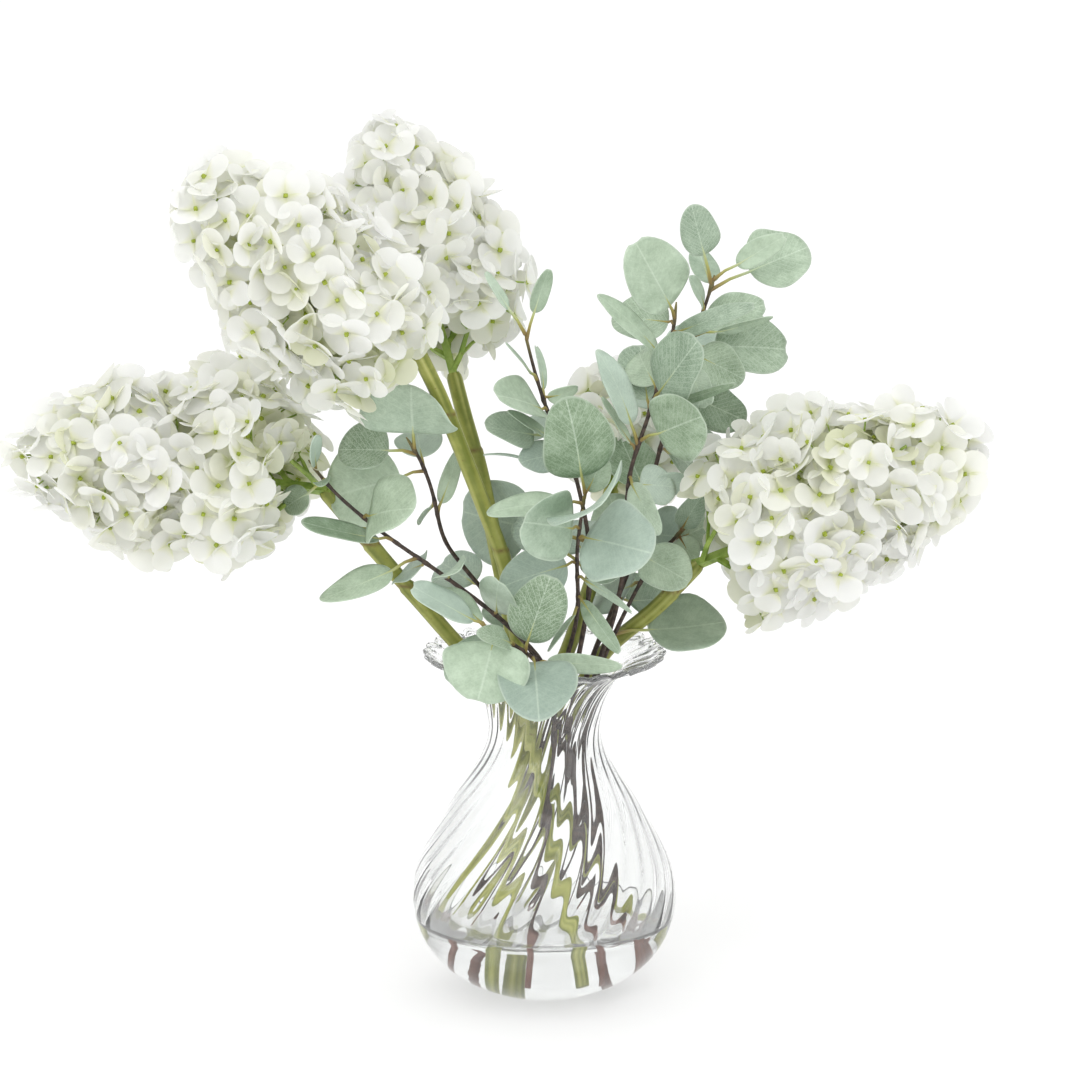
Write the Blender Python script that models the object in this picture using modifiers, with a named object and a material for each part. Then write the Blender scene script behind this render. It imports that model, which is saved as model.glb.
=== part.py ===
"""White hydrangeas and eucalyptus standing in a swirled clear glass vase.

Metres, +Z up, +X to the right, the front towards -Y.  The origin is the centre of the
vase's flat foot.  Routes and leaf places are lists in millimetres, scaled by MM.
"""

import math

import bmesh
import bpy
from mathutils import Matrix, Vector
from mathutils.bvhtree import BVHTree

MM = 0.001
GAP = 0.35 * MM                  # left between pieces that rest against each other
MERGE = 0.01 * MM

# ---------------------------------------------------------------- driving dimensions

# The vase: a rounded bowl below the belly, a long waist, and a wide frilled lip.
BELLY_RADIUS = 77.3 * MM
BELLY_HEIGHT = 60.0 * MM
BOWL_DEPTH = 64.0 * MM           # of the whole bowl curve, which the flat foot cuts short
BOWL_POWER = 2.35
GLASS = 2.6 * MM
GLASS_BOTTOM = 5.0 * MM
SHOULDER = [(73.7, 77), (60.6, 102), (42.6, 131), (35.6, 144), (32.8, 156),
            (34.4, 170), (40.0, 184), (48.0, 193), (58.0, 198), (67.0, 201)]
BOWL_ROWS = 4
RIBS = 30
RIB_DEPTH = 0.5 * MM
RIBS_FULL_FROM = 30.0 * MM       # the ribs deepen evenly from the foot to this height
LIP_SCALLOP = 1.2 * MM           # grows outwards from LIP_FROM, and is full at the rim
LIP_FROM = 50.0 * MM
LIP_WIDTH = 17.0 * MM
LIP_HEIGHT = 190.0 * MM
LIP_LIFT = 0.6                   # rise and fall of the scallops, as a share of their depth
SWIRL = math.radians(95)         # turn of a rib from the foot to the lip
SWIRL_HEIGHT = 201 * MM

# The clear water the stems stand in.
WATER_LEVEL = 45.0 * MM
WATER_SEGMENTS = 24
WATER_CLEARANCE = 1.3 * MM       # to the ribbed glass
BORE_CLEARANCE = 1.3 * GAP       # round a stem
BORE_OVERRUN = 4.0 * MM          # of a bore above the water's surface

# Hydrangea stems: from the cut end in the bowl up to the first branching of the panicle.
STEM_RADIUS = 4.6 * MM
STEM_RADIUS_IN_VASE = 3.6 * MM
NECK_HEIGHT = 170.0 * MM         # the stems are slimmer below this
RACHIS = [(0.2, 2.6), (0.45, 1.8), (0.66, 1.2)]      # share of the head's length, radius
BRANCHES = 8
BRANCH_FROM = 0.02
BRANCH_STEP = 0.075
BRANCH_RISE = 0.16               # share of the head's length between its root and its end
BRANCH_RADIUS = 1.2 * MM
BRANCH_SHORT = 12.0 * MM         # stops short of nine tenths of the head's girth
GOLDEN_TURN = math.radians(137.5)
FLORET_DEPTH = 6.0 * MM          # thickness of the shell that the florets fill
SIDES = ("crown", "front", "under", "back")

# name: route of the stem, tip of the head, and the head's girth: at each share of its
# length, how far its florets reach to the crown, front, under and back sides
HYDRANGEAS = {
    "upper_left": dict(
        route=[(20, -38, 19), (-8, -17, 156), (-17, -14, 226), (-23, -14, 261), (-43, -22, 316),
               (-60, -40, 364), (-72, -50, 391)],
        tip=(-202, -74, 485),
        girth=[(0.0, 24, 34, 52, 30), (0.25, 43, 48, 58, 36), (0.5, 49, 50, 51, 40),
               (0.75, 46, 42, 38, 36), (0.93, 28, 26, 22, 24)]),
    "top": dict(
        route=[(-26, -20, 13), (-12, -7, 156), (-20, -4, 226), (-29, 0, 270), (-37, 5, 310),
               (-46, 16, 338), (-53, 24, 364)],
        tip=(-93, 64, 504),
        girth=[(0.1, 29, 24, 22, 30), (0.28, 61, 36, 40, 52), (0.5, 54, 40, 42, 54),
               (0.75, 40, 36, 38, 42), (0.93, 20, 22, 24, 24)]),
    "left": dict(
        route=[(56, 8, 27), (-19, 6, 156), (-25, 6, 172), (-34, 5, 188), (-55, 2, 212),
               (-92, -5, 258), (-127, -15, 303)],
        tip=(-302, -30, 330),
        girth=[(0.06, 34, 30, 22, 30), (0.27, 76, 52, 56, 50), (0.4, 66, 52, 52, 48),
               (0.54, 48, 46, 48, 42), (0.7, 53, 42, 44, 40), (0.87, 32, 32, 34, 32),
               (0.95, 16, 20, 26, 20)]),
    "right": dict(
        route=[(-56, 14, 27), (10, 17, 156), (18, 17, 172), (27, 17, 188), (39, 17, 204),
               (65, 12, 226), (90, 5, 255)],
        tip=(248, -12, 325),
        girth=[(0.04, 40, 34, 40, 34), (0.12, 57, 42, 50, 40), (0.3, 65, 52, 54, 50),
               (0.5, 65, 52, 43, 50), (0.75, 50, 44, 38, 42), (0.93, 35, 28, 27, 28)]),
    "rear": dict(
        route=[(-10, 42, 17), (0, 25, 156), (4, 27, 176), (14, 33, 196), (30, 48, 240),
               (40, 76, 285)],
        tip=(62, 128, 342),
        girth=[(0.1, 28, 28, 28, 28), (0.38, 40, 40, 40, 42), (0.7, 36, 36, 36, 38),
               (0.92, 20, 20, 20, 20)]),
}
TIP_FROM = 0.74                  # share of a head where its tip spray begins
TIP_SHARES = (0.985, 0.93, 0.85)
TIP_GAP = 0.055                  # share of its length left open under the tip spray
SIDE_COLUMNS = 4
TIP_COLUMNS = 10
SEAM = math.radians(4.5)         # half the gap between neighbouring side sprays
LUMP = 0.05                      # how far the sprays swell and sink

# Eucalyptus: twig routes from the cut end up, then leaves as
# (height on the twig, tip place, width, roll in degrees, petiole's share of the length).
TWIG_RADIUS = 1.9 * MM
TWIG_TIP_RADIUS = 1.1 * MM
LEAF_THICKNESS = 1.0 * MM
PETIOLE_RADIUS = 0.8 * MM
FACING = Vector((0.0, -0.8, 0.6))        # an unrolled blade turns to the front and up
BLADE_SHARES = [(0.14, 0.66), (0.42, 1.0), (0.78, 0.78)]   # along the blade, half width
LEAF_CUP = 0.12
CLEARANCE = 0.45 * MM
SHIFTS = [0, -5, 5, -10, 10, -16, 16, -22, 22, -30, 30]    # of a leaf's tip, in depth
TURNS = [0, 18, -18, 36, -36]
SIZES = [1.0, 0.85, 0.7]

EUCALYPTUS = {
    "tall_right": (
        [(47, -14, 20), (21, -9, 156), (26, -9, 178), (31, -8, 198), (41, -5, 226), (48, -1, 262),
         (48, 0, 308), (64, 5, 354), (75, 10, 392), (76, 12, 408)],
        [(400, (52, -10, 446), 34, 0, 0.13), (396, (41, 22, 398), 27, 0, 0.1),
         (374, (36, -14, 418), 15, 20, 0.14), (390, (113, -22, 415), 12, 45, 0.05),
         (352, (86, -10, 391), 32, 0, 0.12), (358, (53, 16, 376), 22, 0, 0.12),
         (326, (35, -8, 384), 18, 20, 0.22), (346, (110, -20, 366), 7, 60, 0.08),
         (328, (90, -22, 348), 36, 0, 0.28), (350, (89, 0, 350), 9, 40, 0.45),
         (308, (64, -12, 282), 15, 30, 0.15), (303, (75, 6, 301), 22, 0, 0.25),
         (295, (84, 0, 303), 14, 35, 0.35), (266, (82, -16, 250), 25, 10, 0.25),
         (322, (32, 8, 353), 9, 45, 0.15), (344, (56, 42, 374), 30, 0, 0.2)]),
    "tall_rear": (
        [(20, 38, 17), (18, 9, 156), (23, 9, 180), (29, 10, 202), (38, 13, 220), (51, 20, 252),
         (61, 26, 292), (71, 32, 332), (88, 40, 386), (94, 43, 400), (99, 45, 418)],
        [(413, (85, 40, 458), 21, 10, 0.36), (411, (90, 56, 429), 17, 10, 0.1),
         (415, (140, 38, 443), 15, 30, 0.33), (410, (151, 60, 431), 33, 0, 0.4),
         (398, (88, 30, 421), 15, 20, 0.12), (390, (125, 28, 403), 20, 15, 0.12),
         (382, (131, 20, 397), 6, 60, 0.3), (376, (140, 44, 376), 35, 0, 0.25),
         (374, (115, 24, 361), 22, 15, 0.12), (366, (94, 22, 350), 18, 15, 0.1),
         (352, (116, 46, 332), 24, 10, 0.2), (326, (105, 60, 319), 12, 10, 0.4),
         (338, (56, 66, 352), 30, 10, 0.2), (360, (92, 72, 380), 28, 0, 0.2),
         (318, (92, 70, 297), 30, 0, 0.2), (290, (45, 58, 317), 26, 0, 0.2),
         (270, (86, 62, 256), 30, 10, 0.2), (250, (39, 56, 282), 28, 0, 0.2),
         (230, (73, 58, 220), 30, 0, 0.2)]),
    "centre": (
        [(30, -32, 18), (13, -20, 156), (14, -21, 180), (20, -20, 206), (26, -17, 240),
         (26, -14, 275), (17, -12, 316), (2, -10, 346), (-6, -10, 372), (-11, -10, 393)],
        [(272, (-45, 6, 281), 44, 0, 0.45), (256, (-15, -4, 282), 22, 10, 0.45),
         (348, (-24, -22, 366), 30, 0, 0.1), (332, (-32, -28, 342), 22, 15, 0.35),
         (328, (-21, -34, 353), 12, 30, 0.3), (322, (-10, -36, 327), 20, 0, 0.2),
         (310, (-34, -22, 330), 6, 60, 0.45), (392, (-34, -18, 431), 9, 35, 0.42),
         (391, (2, -10, 432), 11, 30, 0.36), (366, (-22, -14, 392), 8, 50, 0.2),
         (354, (-2, -2, 384), 8, 55, 0.2), (356, (21, -6, 358), 10, 50, 0.12),
         (262, (9, 28, 276), 28, 0, 0.2), (244, (40, 26, 258), 22, 0, 0.2),
         (334, (-8, 22, 337), 24, 0, 0.2)]),
    "front": (
        [(-44, 0, 19), (-1, -1, 156), (5, -6, 178), (14, -14, 206), (20, -27, 234),
         (18, -33, 270), (23, -39, 306)],
        [(236, (3, -44, 213), 8, 55, 0.15), (264, (-24, -34, 252), 25, -15, 0.12),
         (300, (-32, -50, 302), 18, 15, 0.2), (284, (-12, -62, 295), 36, 0, 0.12),
         (305, (15, -58, 359), 36, 0, 0.2), (304, (35, -36, 325), 17, 20, 0.15),
         (294, (32, -84, 312), 48, 0, 0.1), (280, (58, -62, 278), 44, 0, 0.1),
         (256, (53, -58, 242), 6, 55, 0.12), (244, (42, -66, 219), 11, 30, 0.1)]),
    "left": (
        [(40, 26, 20), (12, -2, 156), (8, 2, 170), (0, 6, 190), (-14, 8, 212), (-25, 7, 226),
         (-40, 1, 245), (-59, -12, 272), (-64, -20, 303), (-71, -26, 324), (-79, -30, 337)],
        [(330, (-76, -48, 368), 50, 0, 0.25), (328, (-116, -20, 328), 30, 10, 0.35),
         (316, (-122, -8, 300), 44, 0, 0.25), (320, (-74, 5, 334), 24, 0, 0.2),
         (290, (-48, -5, 324), 11, 40, 0.15), (296, (-73, 0, 278), 11, 30, 0.15),
         (220, (-8, 40, 234), 30, 0, 0.2), (240, (-61, 30, 251), 26, 0, 0.2),
         (212, (-26, 42, 224), 26, 0, 0.2)]),
    "low_left": (
        [(46, 2, 19), (8, -12, 156), (5, -16, 176), (0, -25, 204), (-26, -29, 231),
         (-63, -31, 260), (-85, -31, 275), (-104, -31, 290), (-124, -31, 308),
         (-135, -31, 324)],
        [(290, (-78, -62, 304), 38, 0, 0.12), (276, (-140, -50, 291), 17, 25, 0.16),
         (266, (-125, -48, 246), 19, 20, 0.28), (263, (-85, -8, 252), 24, 20, 0.15),
         (254, (-54, -42, 274), 20, 25, 0.1), (232, (-28, -50, 258), 22, 15, 0.1),
         (310, (-151, -18, 294), 18, 10, 0.4), (312, (-127, -38, 318), 10, 20, 0.1),
         (318, (-131, -62, 346), 12, 20, 0.15)]),
    "collar": (
        [(-9, -46, 19), (6, -25.5, 156), (5, -29, 180), (2, -38, 200), (-6, -46, 212),
         (-20, -54, 222), (-36, -60, 234)],
        [(233, (-74, -62, 256), 20, 30, 0.14), (232, (-56, -45, 250), 15, 30, 0.15),
         (228, (-52, -58, 200), 24, 20, 0.12), (228, (-37, -84, 199), 44, 0, 0.14),
         (212, (-3, -84, 190), 47, 0, 0.1), (220, (-33, -62, 238), 14, 20, 0.15),
         (216, (3, -52, 260), 28, 15, 0.12), (208, (45, -62, 211), 12, 40, 0.1)]),
    "right": (
        [(-24, 40, 20), (23, 3, 156), (27, 2, 176), (33, 2, 196), (46, 6, 224), (60, 12, 250),
         (73, 20, 264), (82, 28, 271)],
        [(268, (162, 84, 333), 22, 10, 0.3), (269, (90, 14, 295), 15, 10, 0.12),
         (268, (88, 10, 250), 15, 15, 0.12), (262, (86, 40, 250), 16, 0, 0.1),
         (214, (102, 42, 212), 40, 0, 0.3), (242, (33, 48, 223), 28, 0, 0.2),
         (264, (104, 62, 268), 26, 0, 0.2)]),
}

for leftover in list(bpy.data.objects):
    bpy.data.objects.remove(leftover, do_unlink=True)

bouquet = bpy.data.collections.new("hydrangeas_in_vase")
bpy.context.scene.collection.children.link(bouquet)
cutters = bpy.data.collections.new("cutters")
bpy.context.scene.collection.children.link(cutters)


# ---------------------------------------------------------------- shared helpers

def finish_paint(name, colour, roughness, transmission=0.0):
    """A Principled material in the piece's own colour."""
    paint = bpy.data.materials.new(name)
    paint.use_nodes = True
    shader = paint.node_tree.nodes["Principled BSDF"]
    shader.inputs["Base Color"].default_value = (*colour, 1.0)
    shader.inputs["Roughness"].default_value = roughness
    shader.inputs["Transmission Weight"].default_value = transmission
    return paint


def place(name, mesh, home):
    """A new object that holds a mesh, in the collection it belongs to."""
    piece = bpy.data.objects.new(name, mesh)
    home.objects.link(piece)
    if home is cutters:
        piece.hide_render = True
        piece.display_type = 'WIRE'
    return piece


def frozen(piece):
    """The piece's evaluated mesh, welded, in place of the piece itself."""
    bpy.context.view_layer.update()
    graph = bpy.context.evaluated_depsgraph_get()
    mesh = bpy.data.meshes.new_from_object(piece.evaluated_get(graph))
    mesh.transform(piece.matrix_world)
    bpy.data.objects.remove(piece, do_unlink=True)
    work = bmesh.new()
    work.from_mesh(mesh)
    bmesh.ops.remove_doubles(work, verts=work.verts, dist=MERGE)
    bmesh.ops.recalc_face_normals(work, faces=work.faces)
    work.to_mesh(mesh)
    work.free()
    return mesh


def tube(name, route, radii, home, resolution=1):
    """A tube along route, with its radius at each point; its ends are closed."""
    path = bpy.data.curves.new(name, 'CURVE')
    path.dimensions = '3D'
    path.bevel_depth = 1.0
    path.bevel_resolution = resolution
    path.use_fill_caps = True
    spline = path.splines.new('POLY')
    spline.points.add(len(route) - 1)
    for knot, point, radius in zip(spline.points, route, radii):
        knot.co = (*point, 1.0)
        knot.radius = radius
    piece = bpy.data.objects.new(name, path)
    bpy.context.scene.collection.objects.link(piece)
    return place(name, frozen(piece), home)


def boolean(piece, other, operation):
    """An exact Boolean of two mesh objects, left as the first object's mesh."""
    step = piece.modifiers.new(operation.lower(), 'BOOLEAN')
    step.operation = operation
    step.solver = 'EXACT'
    step.object = other
    bpy.context.view_layer.update()
    graph = bpy.context.evaluated_depsgraph_get()
    result = bpy.data.meshes.new_from_object(piece.evaluated_get(graph))
    piece.modifiers.clear()
    piece.data = result
    bpy.data.objects.remove(other, do_unlink=True)


def spun(name, profile, steps, sweep=math.tau):
    """A profile of (radius, height) turned about the Z axis, as a welded mesh."""
    outline = bpy.data.meshes.new(name)
    edges = [(i, i + 1) for i in range(len(profile) - 1)]
    outline.from_pydata([(r, 0.0, z) for r, z in profile], edges, [])
    piece = bpy.data.objects.new(name, outline)
    bpy.context.scene.collection.objects.link(piece)
    turn = piece.modifiers.new("turn", 'SCREW')
    turn.angle = sweep
    turn.steps = turn.render_steps = steps
    turn.use_merge_vertices = True
    turn.merge_threshold = MERGE
    graph = bpy.context.evaluated_depsgraph_get()
    mesh = bpy.data.meshes.new_from_object(piece.evaluated_get(graph))
    bpy.data.objects.remove(piece, do_unlink=True)
    return mesh


def metres(point):
    """A point given in millimetres."""
    return Vector(point) * MM


def at_height(route, height):
    """The point of a rising route at a height."""
    for low, high in zip(route, route[1:]):
        if low.z <= height <= high.z:
            return low.lerp(high, (height - low.z) / (high.z - low.z))
    return route[-1].copy()


# ---------------------------------------------------------------- vase and water

def bowl_curve(radius, depth, lowest, rows):
    """The bowl's side from its lowest height up to the belly, as (radius, height)."""
    start = math.acos(min(1.0, ((BELLY_HEIGHT - lowest) / depth) ** (BOWL_POWER / 2)))
    curve = []
    for row in range(rows + 1):
        angle = start + (math.pi / 2 - start) * row / rows
        drop = depth * math.cos(angle) ** (2 / BOWL_POWER)
        curve.append((radius * math.sin(angle), BELLY_HEIGHT - drop))
    return curve


def inward(profile, distance):
    """A profile moved sideways by a distance, to the left of its run."""
    moved = []
    for i, (r, z) in enumerate(profile):
        before = profile[max(i - 1, 0)]
        after = profile[min(i + 1, len(profile) - 1)]
        run = Vector((after[0] - before[0], after[1] - before[1])).normalized()
        moved.append((r - run.y * distance, z + run.x * distance))
    return moved


def swirl(mesh, depth, lip=0.0):
    """Turns the rings of a turned shape into a swirl, and raises its ribs."""
    for vertex in mesh.vertices:
        x, y, z = vertex.co
        radius = math.hypot(x, y)
        if radius < 1 * MM:
            continue
        angle = math.atan2(y, x)
        ridge = math.cos(RIBS * angle)
        near_lip = max(0.0, (radius - LIP_FROM) / LIP_WIDTH) if z > LIP_HEIGHT else 0.0
        rise = depth * min(1.0, z / RIBS_FULL_FROM) + lip * near_lip
        angle += SWIRL * z / SWIRL_HEIGHT
        radius += rise * ridge
        height = z + LIP_LIFT * lip * near_lip * ridge
        vertex.co = (radius * math.cos(angle), radius * math.sin(angle), height)


def inner_bowl():
    """The inside of the bowl, which the water follows."""
    return bowl_curve(BELLY_RADIUS - GLASS, BELLY_HEIGHT - GLASS_BOTTOM, GLASS_BOTTOM,
                      BOWL_ROWS)


def build_vase():
    """The glass: one wall turned from its inside and outside curves, then swirled."""
    shoulder = [(r * MM, z * MM) for r, z in SHOULDER]
    outside = bowl_curve(BELLY_RADIUS, BOWL_DEPTH, 0.0, BOWL_ROWS) + shoulder
    inside = inner_bowl() + inward(shoulder, GLASS)
    profile = inside + outside[::-1] + [(0.0, 0.0)]
    mesh = spun("vase", profile, 2 * RIBS)
    swirl(mesh, RIB_DEPTH, LIP_SCALLOP)
    mesh.materials.append(finish_paint("clear_glass", (0.95, 0.96, 0.96), 0.03, 1.0))
    return place("vase", mesh, bouquet)


def build_water(stems):
    """The water in the bowl, with a bore for each stem that stands in it."""
    edge = [(r - WATER_CLEARANCE, z + WATER_CLEARANCE) for r, z in inner_bowl()]
    edge = [(max(r, 0.0), z) for r, z in edge if z < WATER_LEVEL - 1 * MM]
    top = math.acos(((BELLY_HEIGHT - WATER_LEVEL)
                     / (BELLY_HEIGHT - GLASS_BOTTOM)) ** (BOWL_POWER / 2))
    shore = (BELLY_RADIUS - GLASS) * math.sin(top) - 2 * WATER_CLEARANCE
    profile = [(0.0, WATER_LEVEL), (shore, WATER_LEVEL)] + edge[::-1]
    water = place("clear_water", spun("clear_water", profile, WATER_SEGMENTS), bouquet)
    for name, (route, radius) in stems.items():
        foot = route[0] - (route[1] - route[0]).normalized() * GAP
        surface = at_height(route, WATER_LEVEL)
        high = surface + (route[1] - route[0]).normalized() * BORE_OVERRUN
        bore = tube(name + "_bore", [foot, high], [radius + BORE_CLEARANCE] * 2, cutters)
        boolean(water, bore, 'DIFFERENCE')
    water.data.materials.clear()
    water.data.materials.append(finish_paint("water", (0.97, 0.98, 0.98), 0.0, 1.0))
    return water


# ---------------------------------------------------------------- hydrangeas

def head_frame(base, tip):
    """Axes of a head: along it, towards its front, and towards its crown."""
    along = (tip - base).normalized()
    front = (Vector((0, -1, 0)) - along * along.dot(Vector((0, -1, 0)))).normalized()
    crown = along.cross(front)
    if crown.z < 0 or (abs(crown.z) < 0.5 and crown.x < 0):
        crown.negate()
    return along, front, crown


def girth_at(rows, share, angle):
    """A head's radius at a share of its length; angle 0 is the crown, then the front."""
    last = rows[-1]
    if share >= last[0]:
        fall = math.sqrt(max(0.0, 1 - ((share - last[0]) / (1 - last[0])) ** 2))
        reach = [value * fall for value in last[1:]]
    else:
        reach = rows[0][1:]
        for low, high in zip(rows, rows[1:]):
            if low[0] <= share:
                part = (share - low[0]) / (high[0] - low[0])
                reach = [a + (b - a) * part for a, b in zip(low[1:], high[1:])]
    turn = (angle / (math.pi / 2)) % 4
    side = int(turn)
    blend = (1 - math.cos(math.pi * (turn - side))) / 2
    return (reach[side] * (1 - blend) + reach[(side + 1) % 4] * blend) * MM


def lumps(share, angle):
    """The soft swelling and sinking of a head's surface."""
    return 1 + LUMP * math.sin(3 * angle + 9 * share) + LUMP * math.sin(14 * share - 2 * angle)


def shell(name, head, start, sweep, columns, profile, paint):
    """A spray of florets: a curved sheet over part of the head, with its depth."""
    base = metres(head["route"][-1])
    tip = metres(head["tip"])
    along, front, crown = head_frame(base, tip)
    length = (tip - base).length
    mesh = spun(name, profile, columns, sweep)
    for vertex in mesh.vertices:
        share = vertex.co.z
        angle = start + math.atan2(vertex.co.y, vertex.co.x) % math.tau
        radius = girth_at(head["girth"], share, angle) * lumps(share, angle)
        outward = crown * math.cos(angle) + front * math.sin(angle)
        vertex.co = base + along * (share * length) + outward * radius
    work = bmesh.new()
    work.from_mesh(mesh)
    middle = base + along * length * 0.5
    bmesh.ops.recalc_face_normals(work, faces=work.faces)
    outwards = sum(face.normal.dot(face.calc_center_median() - middle) for face in work.faces)
    if outwards < 0:
        bmesh.ops.reverse_faces(work, faces=work.faces)
    work.to_mesh(mesh)
    work.free()
    mesh.materials.append(paint)
    piece = place(name, mesh, bouquet)
    depth = piece.modifiers.new("depth", 'SOLIDIFY')
    depth.thickness = FLORET_DEPTH
    depth.offset = -1.0
    return piece


def build_florets(key, head, paint):
    """The head's sprays: four sides and a tip, with a small gap between them."""
    shares = [row[0] for row in head["girth"] if row[0] < TIP_FROM - 2 * TIP_GAP]
    sides = [(1.0, share) for share in shares + [TIP_FROM - TIP_GAP]]
    cap = [(0.0, 1.0)] + [(1.0, share) for share in (*TIP_SHARES, TIP_FROM)]
    pieces = [shell(f"florets_{key}_tip", head, 0.0, math.tau, TIP_COLUMNS, cap, paint)]
    for number, side in enumerate(SIDES):
        start = (number - 0.5) * math.pi / 2
        pieces.append(shell(f"florets_{key}_{side}", head, start + SEAM,
                            math.pi / 2 - 2 * SEAM, SIDE_COLUMNS, sides[::-1], paint))
    return pieces


def build_stem(key, head, paint):
    """A hydrangea stem with the branching of its panicle, grown as one piece."""
    route = [metres(point) for point in head["route"]]
    base, tip = route[-1], metres(head["tip"])
    along, front, crown = head_frame(base, tip)
    length = (tip - base).length
    name = f"hydrangea_stem_{key}"
    thick = [STEM_RADIUS_IN_VASE if point.z < NECK_HEIGHT else STEM_RADIUS for point in route]
    rachis = [base + along * length * share for share, radius in RACHIS]
    thin = [radius * MM for share, radius in RACHIS]
    stem = tube(name, route + rachis, thick + thin, bouquet)
    for number in range(BRANCHES):
        share = BRANCH_FROM + BRANCH_STEP * number
        angle = number * GOLDEN_TURN + 0.6
        outward = crown * math.cos(angle) + front * math.sin(angle)
        root = base + along * length * share
        end_share = share + BRANCH_RISE
        spread = girth_at(head["girth"], end_share, angle)
        end = base + along * length * end_share + outward * (spread * 0.9 - BRANCH_SHORT)
        branch = tube(f"{name}_branch", [root, root.lerp(end, 0.5) + along * 3 * MM, end],
                      [BRANCH_RADIUS * 1.3, BRANCH_RADIUS, BRANCH_RADIUS * 0.8], cutters, 0)
        boolean(stem, branch, 'UNION')
    stem.data.materials.clear()
    stem.data.materials.append(paint)
    return stem, route


# ---------------------------------------------------------------- eucalyptus

def leaf_mesh(base, tip, width, roll, petiole, swell=0.0, whole=True):
    """A leaf: a petiole that widens into a thin cupped blade; sections run base to tip."""
    along = (tip - base).normalized()
    normal = (FACING - along * along.dot(FACING)).normalized()
    normal = Matrix.Rotation(math.radians(roll), 3, along) @ normal
    across = along.cross(normal)
    sections = [(0.0 if whole else petiole * 0.5, PETIOLE_RADIUS, PETIOLE_RADIUS),
                (petiole, PETIOLE_RADIUS * 0.9, PETIOLE_RADIUS * 0.9)]
    for share, half in BLADE_SHARES:
        sections.append((petiole + (1 - petiole) * share, half * width / 2, LEAF_THICKNESS / 2))
    work = bmesh.new()
    rings = []
    for share, half, thick in sections:
        centre = base.lerp(tip, share)
        cup = LEAF_CUP * half * normal
        rings.append([work.verts.new(centre + offset) for offset in (
            across * (half + swell) + cup, normal * (thick + swell),
            -across * (half + swell) + cup, -normal * (thick + swell))])
    point = work.verts.new(tip)
    for low, high in zip(rings, rings[1:]):
        for i in range(4):
            work.faces.new((low[i], low[(i + 1) % 4], high[(i + 1) % 4], high[i]))
    for i in range(4):
        work.faces.new((rings[-1][i], rings[-1][(i + 1) % 4], point))
    work.faces.new(rings[0][::-1])
    bmesh.ops.recalc_face_normals(work, faces=work.faces)
    bmesh.ops.triangulate(work, faces=work.faces)
    return work


def settled_leaf(route, leaf, obstacles):
    """The leaf's fine mesh, in the first setting that clears everything placed before."""
    height, tip, width, roll, petiole = leaf
    base = at_height(route, height * MM)
    for size in SIZES:
        for shift in SHIFTS:
            for turn in TURNS:
                end = base.lerp(metres(tip) + Vector((0, shift * MM, 0)), size)
                setting = (base, end, width * MM * size, roll + turn, petiole)
                probe = leaf_mesh(*setting, swell=CLEARANCE, whole=False)
                tree = BVHTree.FromBMesh(probe)
                probe.free()
                if not any(tree.overlap(other) for other in obstacles):
                    obstacles.append(tree)
                    return leaf_mesh(*setting)
    raise ValueError(f"no clear place for the leaf at {leaf}")


def build_eucalyptus(obstacles, paint):
    """Every branch: its twig, and its leaves united with it as they grew."""
    standing_twigs = {}
    twigs = {}
    for key, branch in EUCALYPTUS.items():
        name = f"eucalyptus_{key}"
        points = [metres(point) for point in branch[0]]
        last = len(points) - 1
        radii = [TWIG_RADIUS + (TWIG_TIP_RADIUS - TWIG_RADIUS) * (i / last) ** 2
                 for i in range(last + 1)]
        twigs[key] = tube(name, points, radii, bouquet)
        standing_twigs[name] = (points, TWIG_RADIUS)
        obstacles.append(tree_of(twigs[key]))
    for key, branch in EUCALYPTUS.items():
        points = [metres(point) for point in branch[0]]
        for leaf in branch[1]:
            work = settled_leaf(points, leaf, obstacles)
            mesh = bpy.data.meshes.new("leaf")
            work.to_mesh(mesh)
            work.free()
            boolean(twigs[key], place("leaf", mesh, cutters), 'UNION')
        twigs[key].data.materials.clear()
        twigs[key].data.materials.append(paint)
    return standing_twigs


def tree_of(piece):
    """A search tree over a piece's evaluated faces."""
    bpy.context.view_layer.update()
    graph = bpy.context.evaluated_depsgraph_get()
    return BVHTree.FromObject(piece, graph)


# ---------------------------------------------------------------- assembly

vase = build_vase()
obstacles = [tree_of(vase)]
stem_paint = finish_paint("green_stem", (0.33, 0.36, 0.08), 0.5)
petal_paint = finish_paint("white_petal", (0.86, 0.86, 0.82), 0.6)
leaf_paint = finish_paint("eucalyptus_leaf", (0.36, 0.47, 0.39), 0.55)
standing = {}
for key, head in HYDRANGEAS.items():
    stem, route = build_stem(key, head, stem_paint)
    standing[stem.name] = (route, STEM_RADIUS_IN_VASE)
    obstacles.append(tree_of(stem))
    for piece in build_florets(key, head, petal_paint):
        obstacles.append(tree_of(piece))
standing.update(build_eucalyptus(obstacles, leaf_paint))
build_water(standing)
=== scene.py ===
import math
import random

import bpy
from mathutils import Matrix, Vector, kdtree, noise


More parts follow.
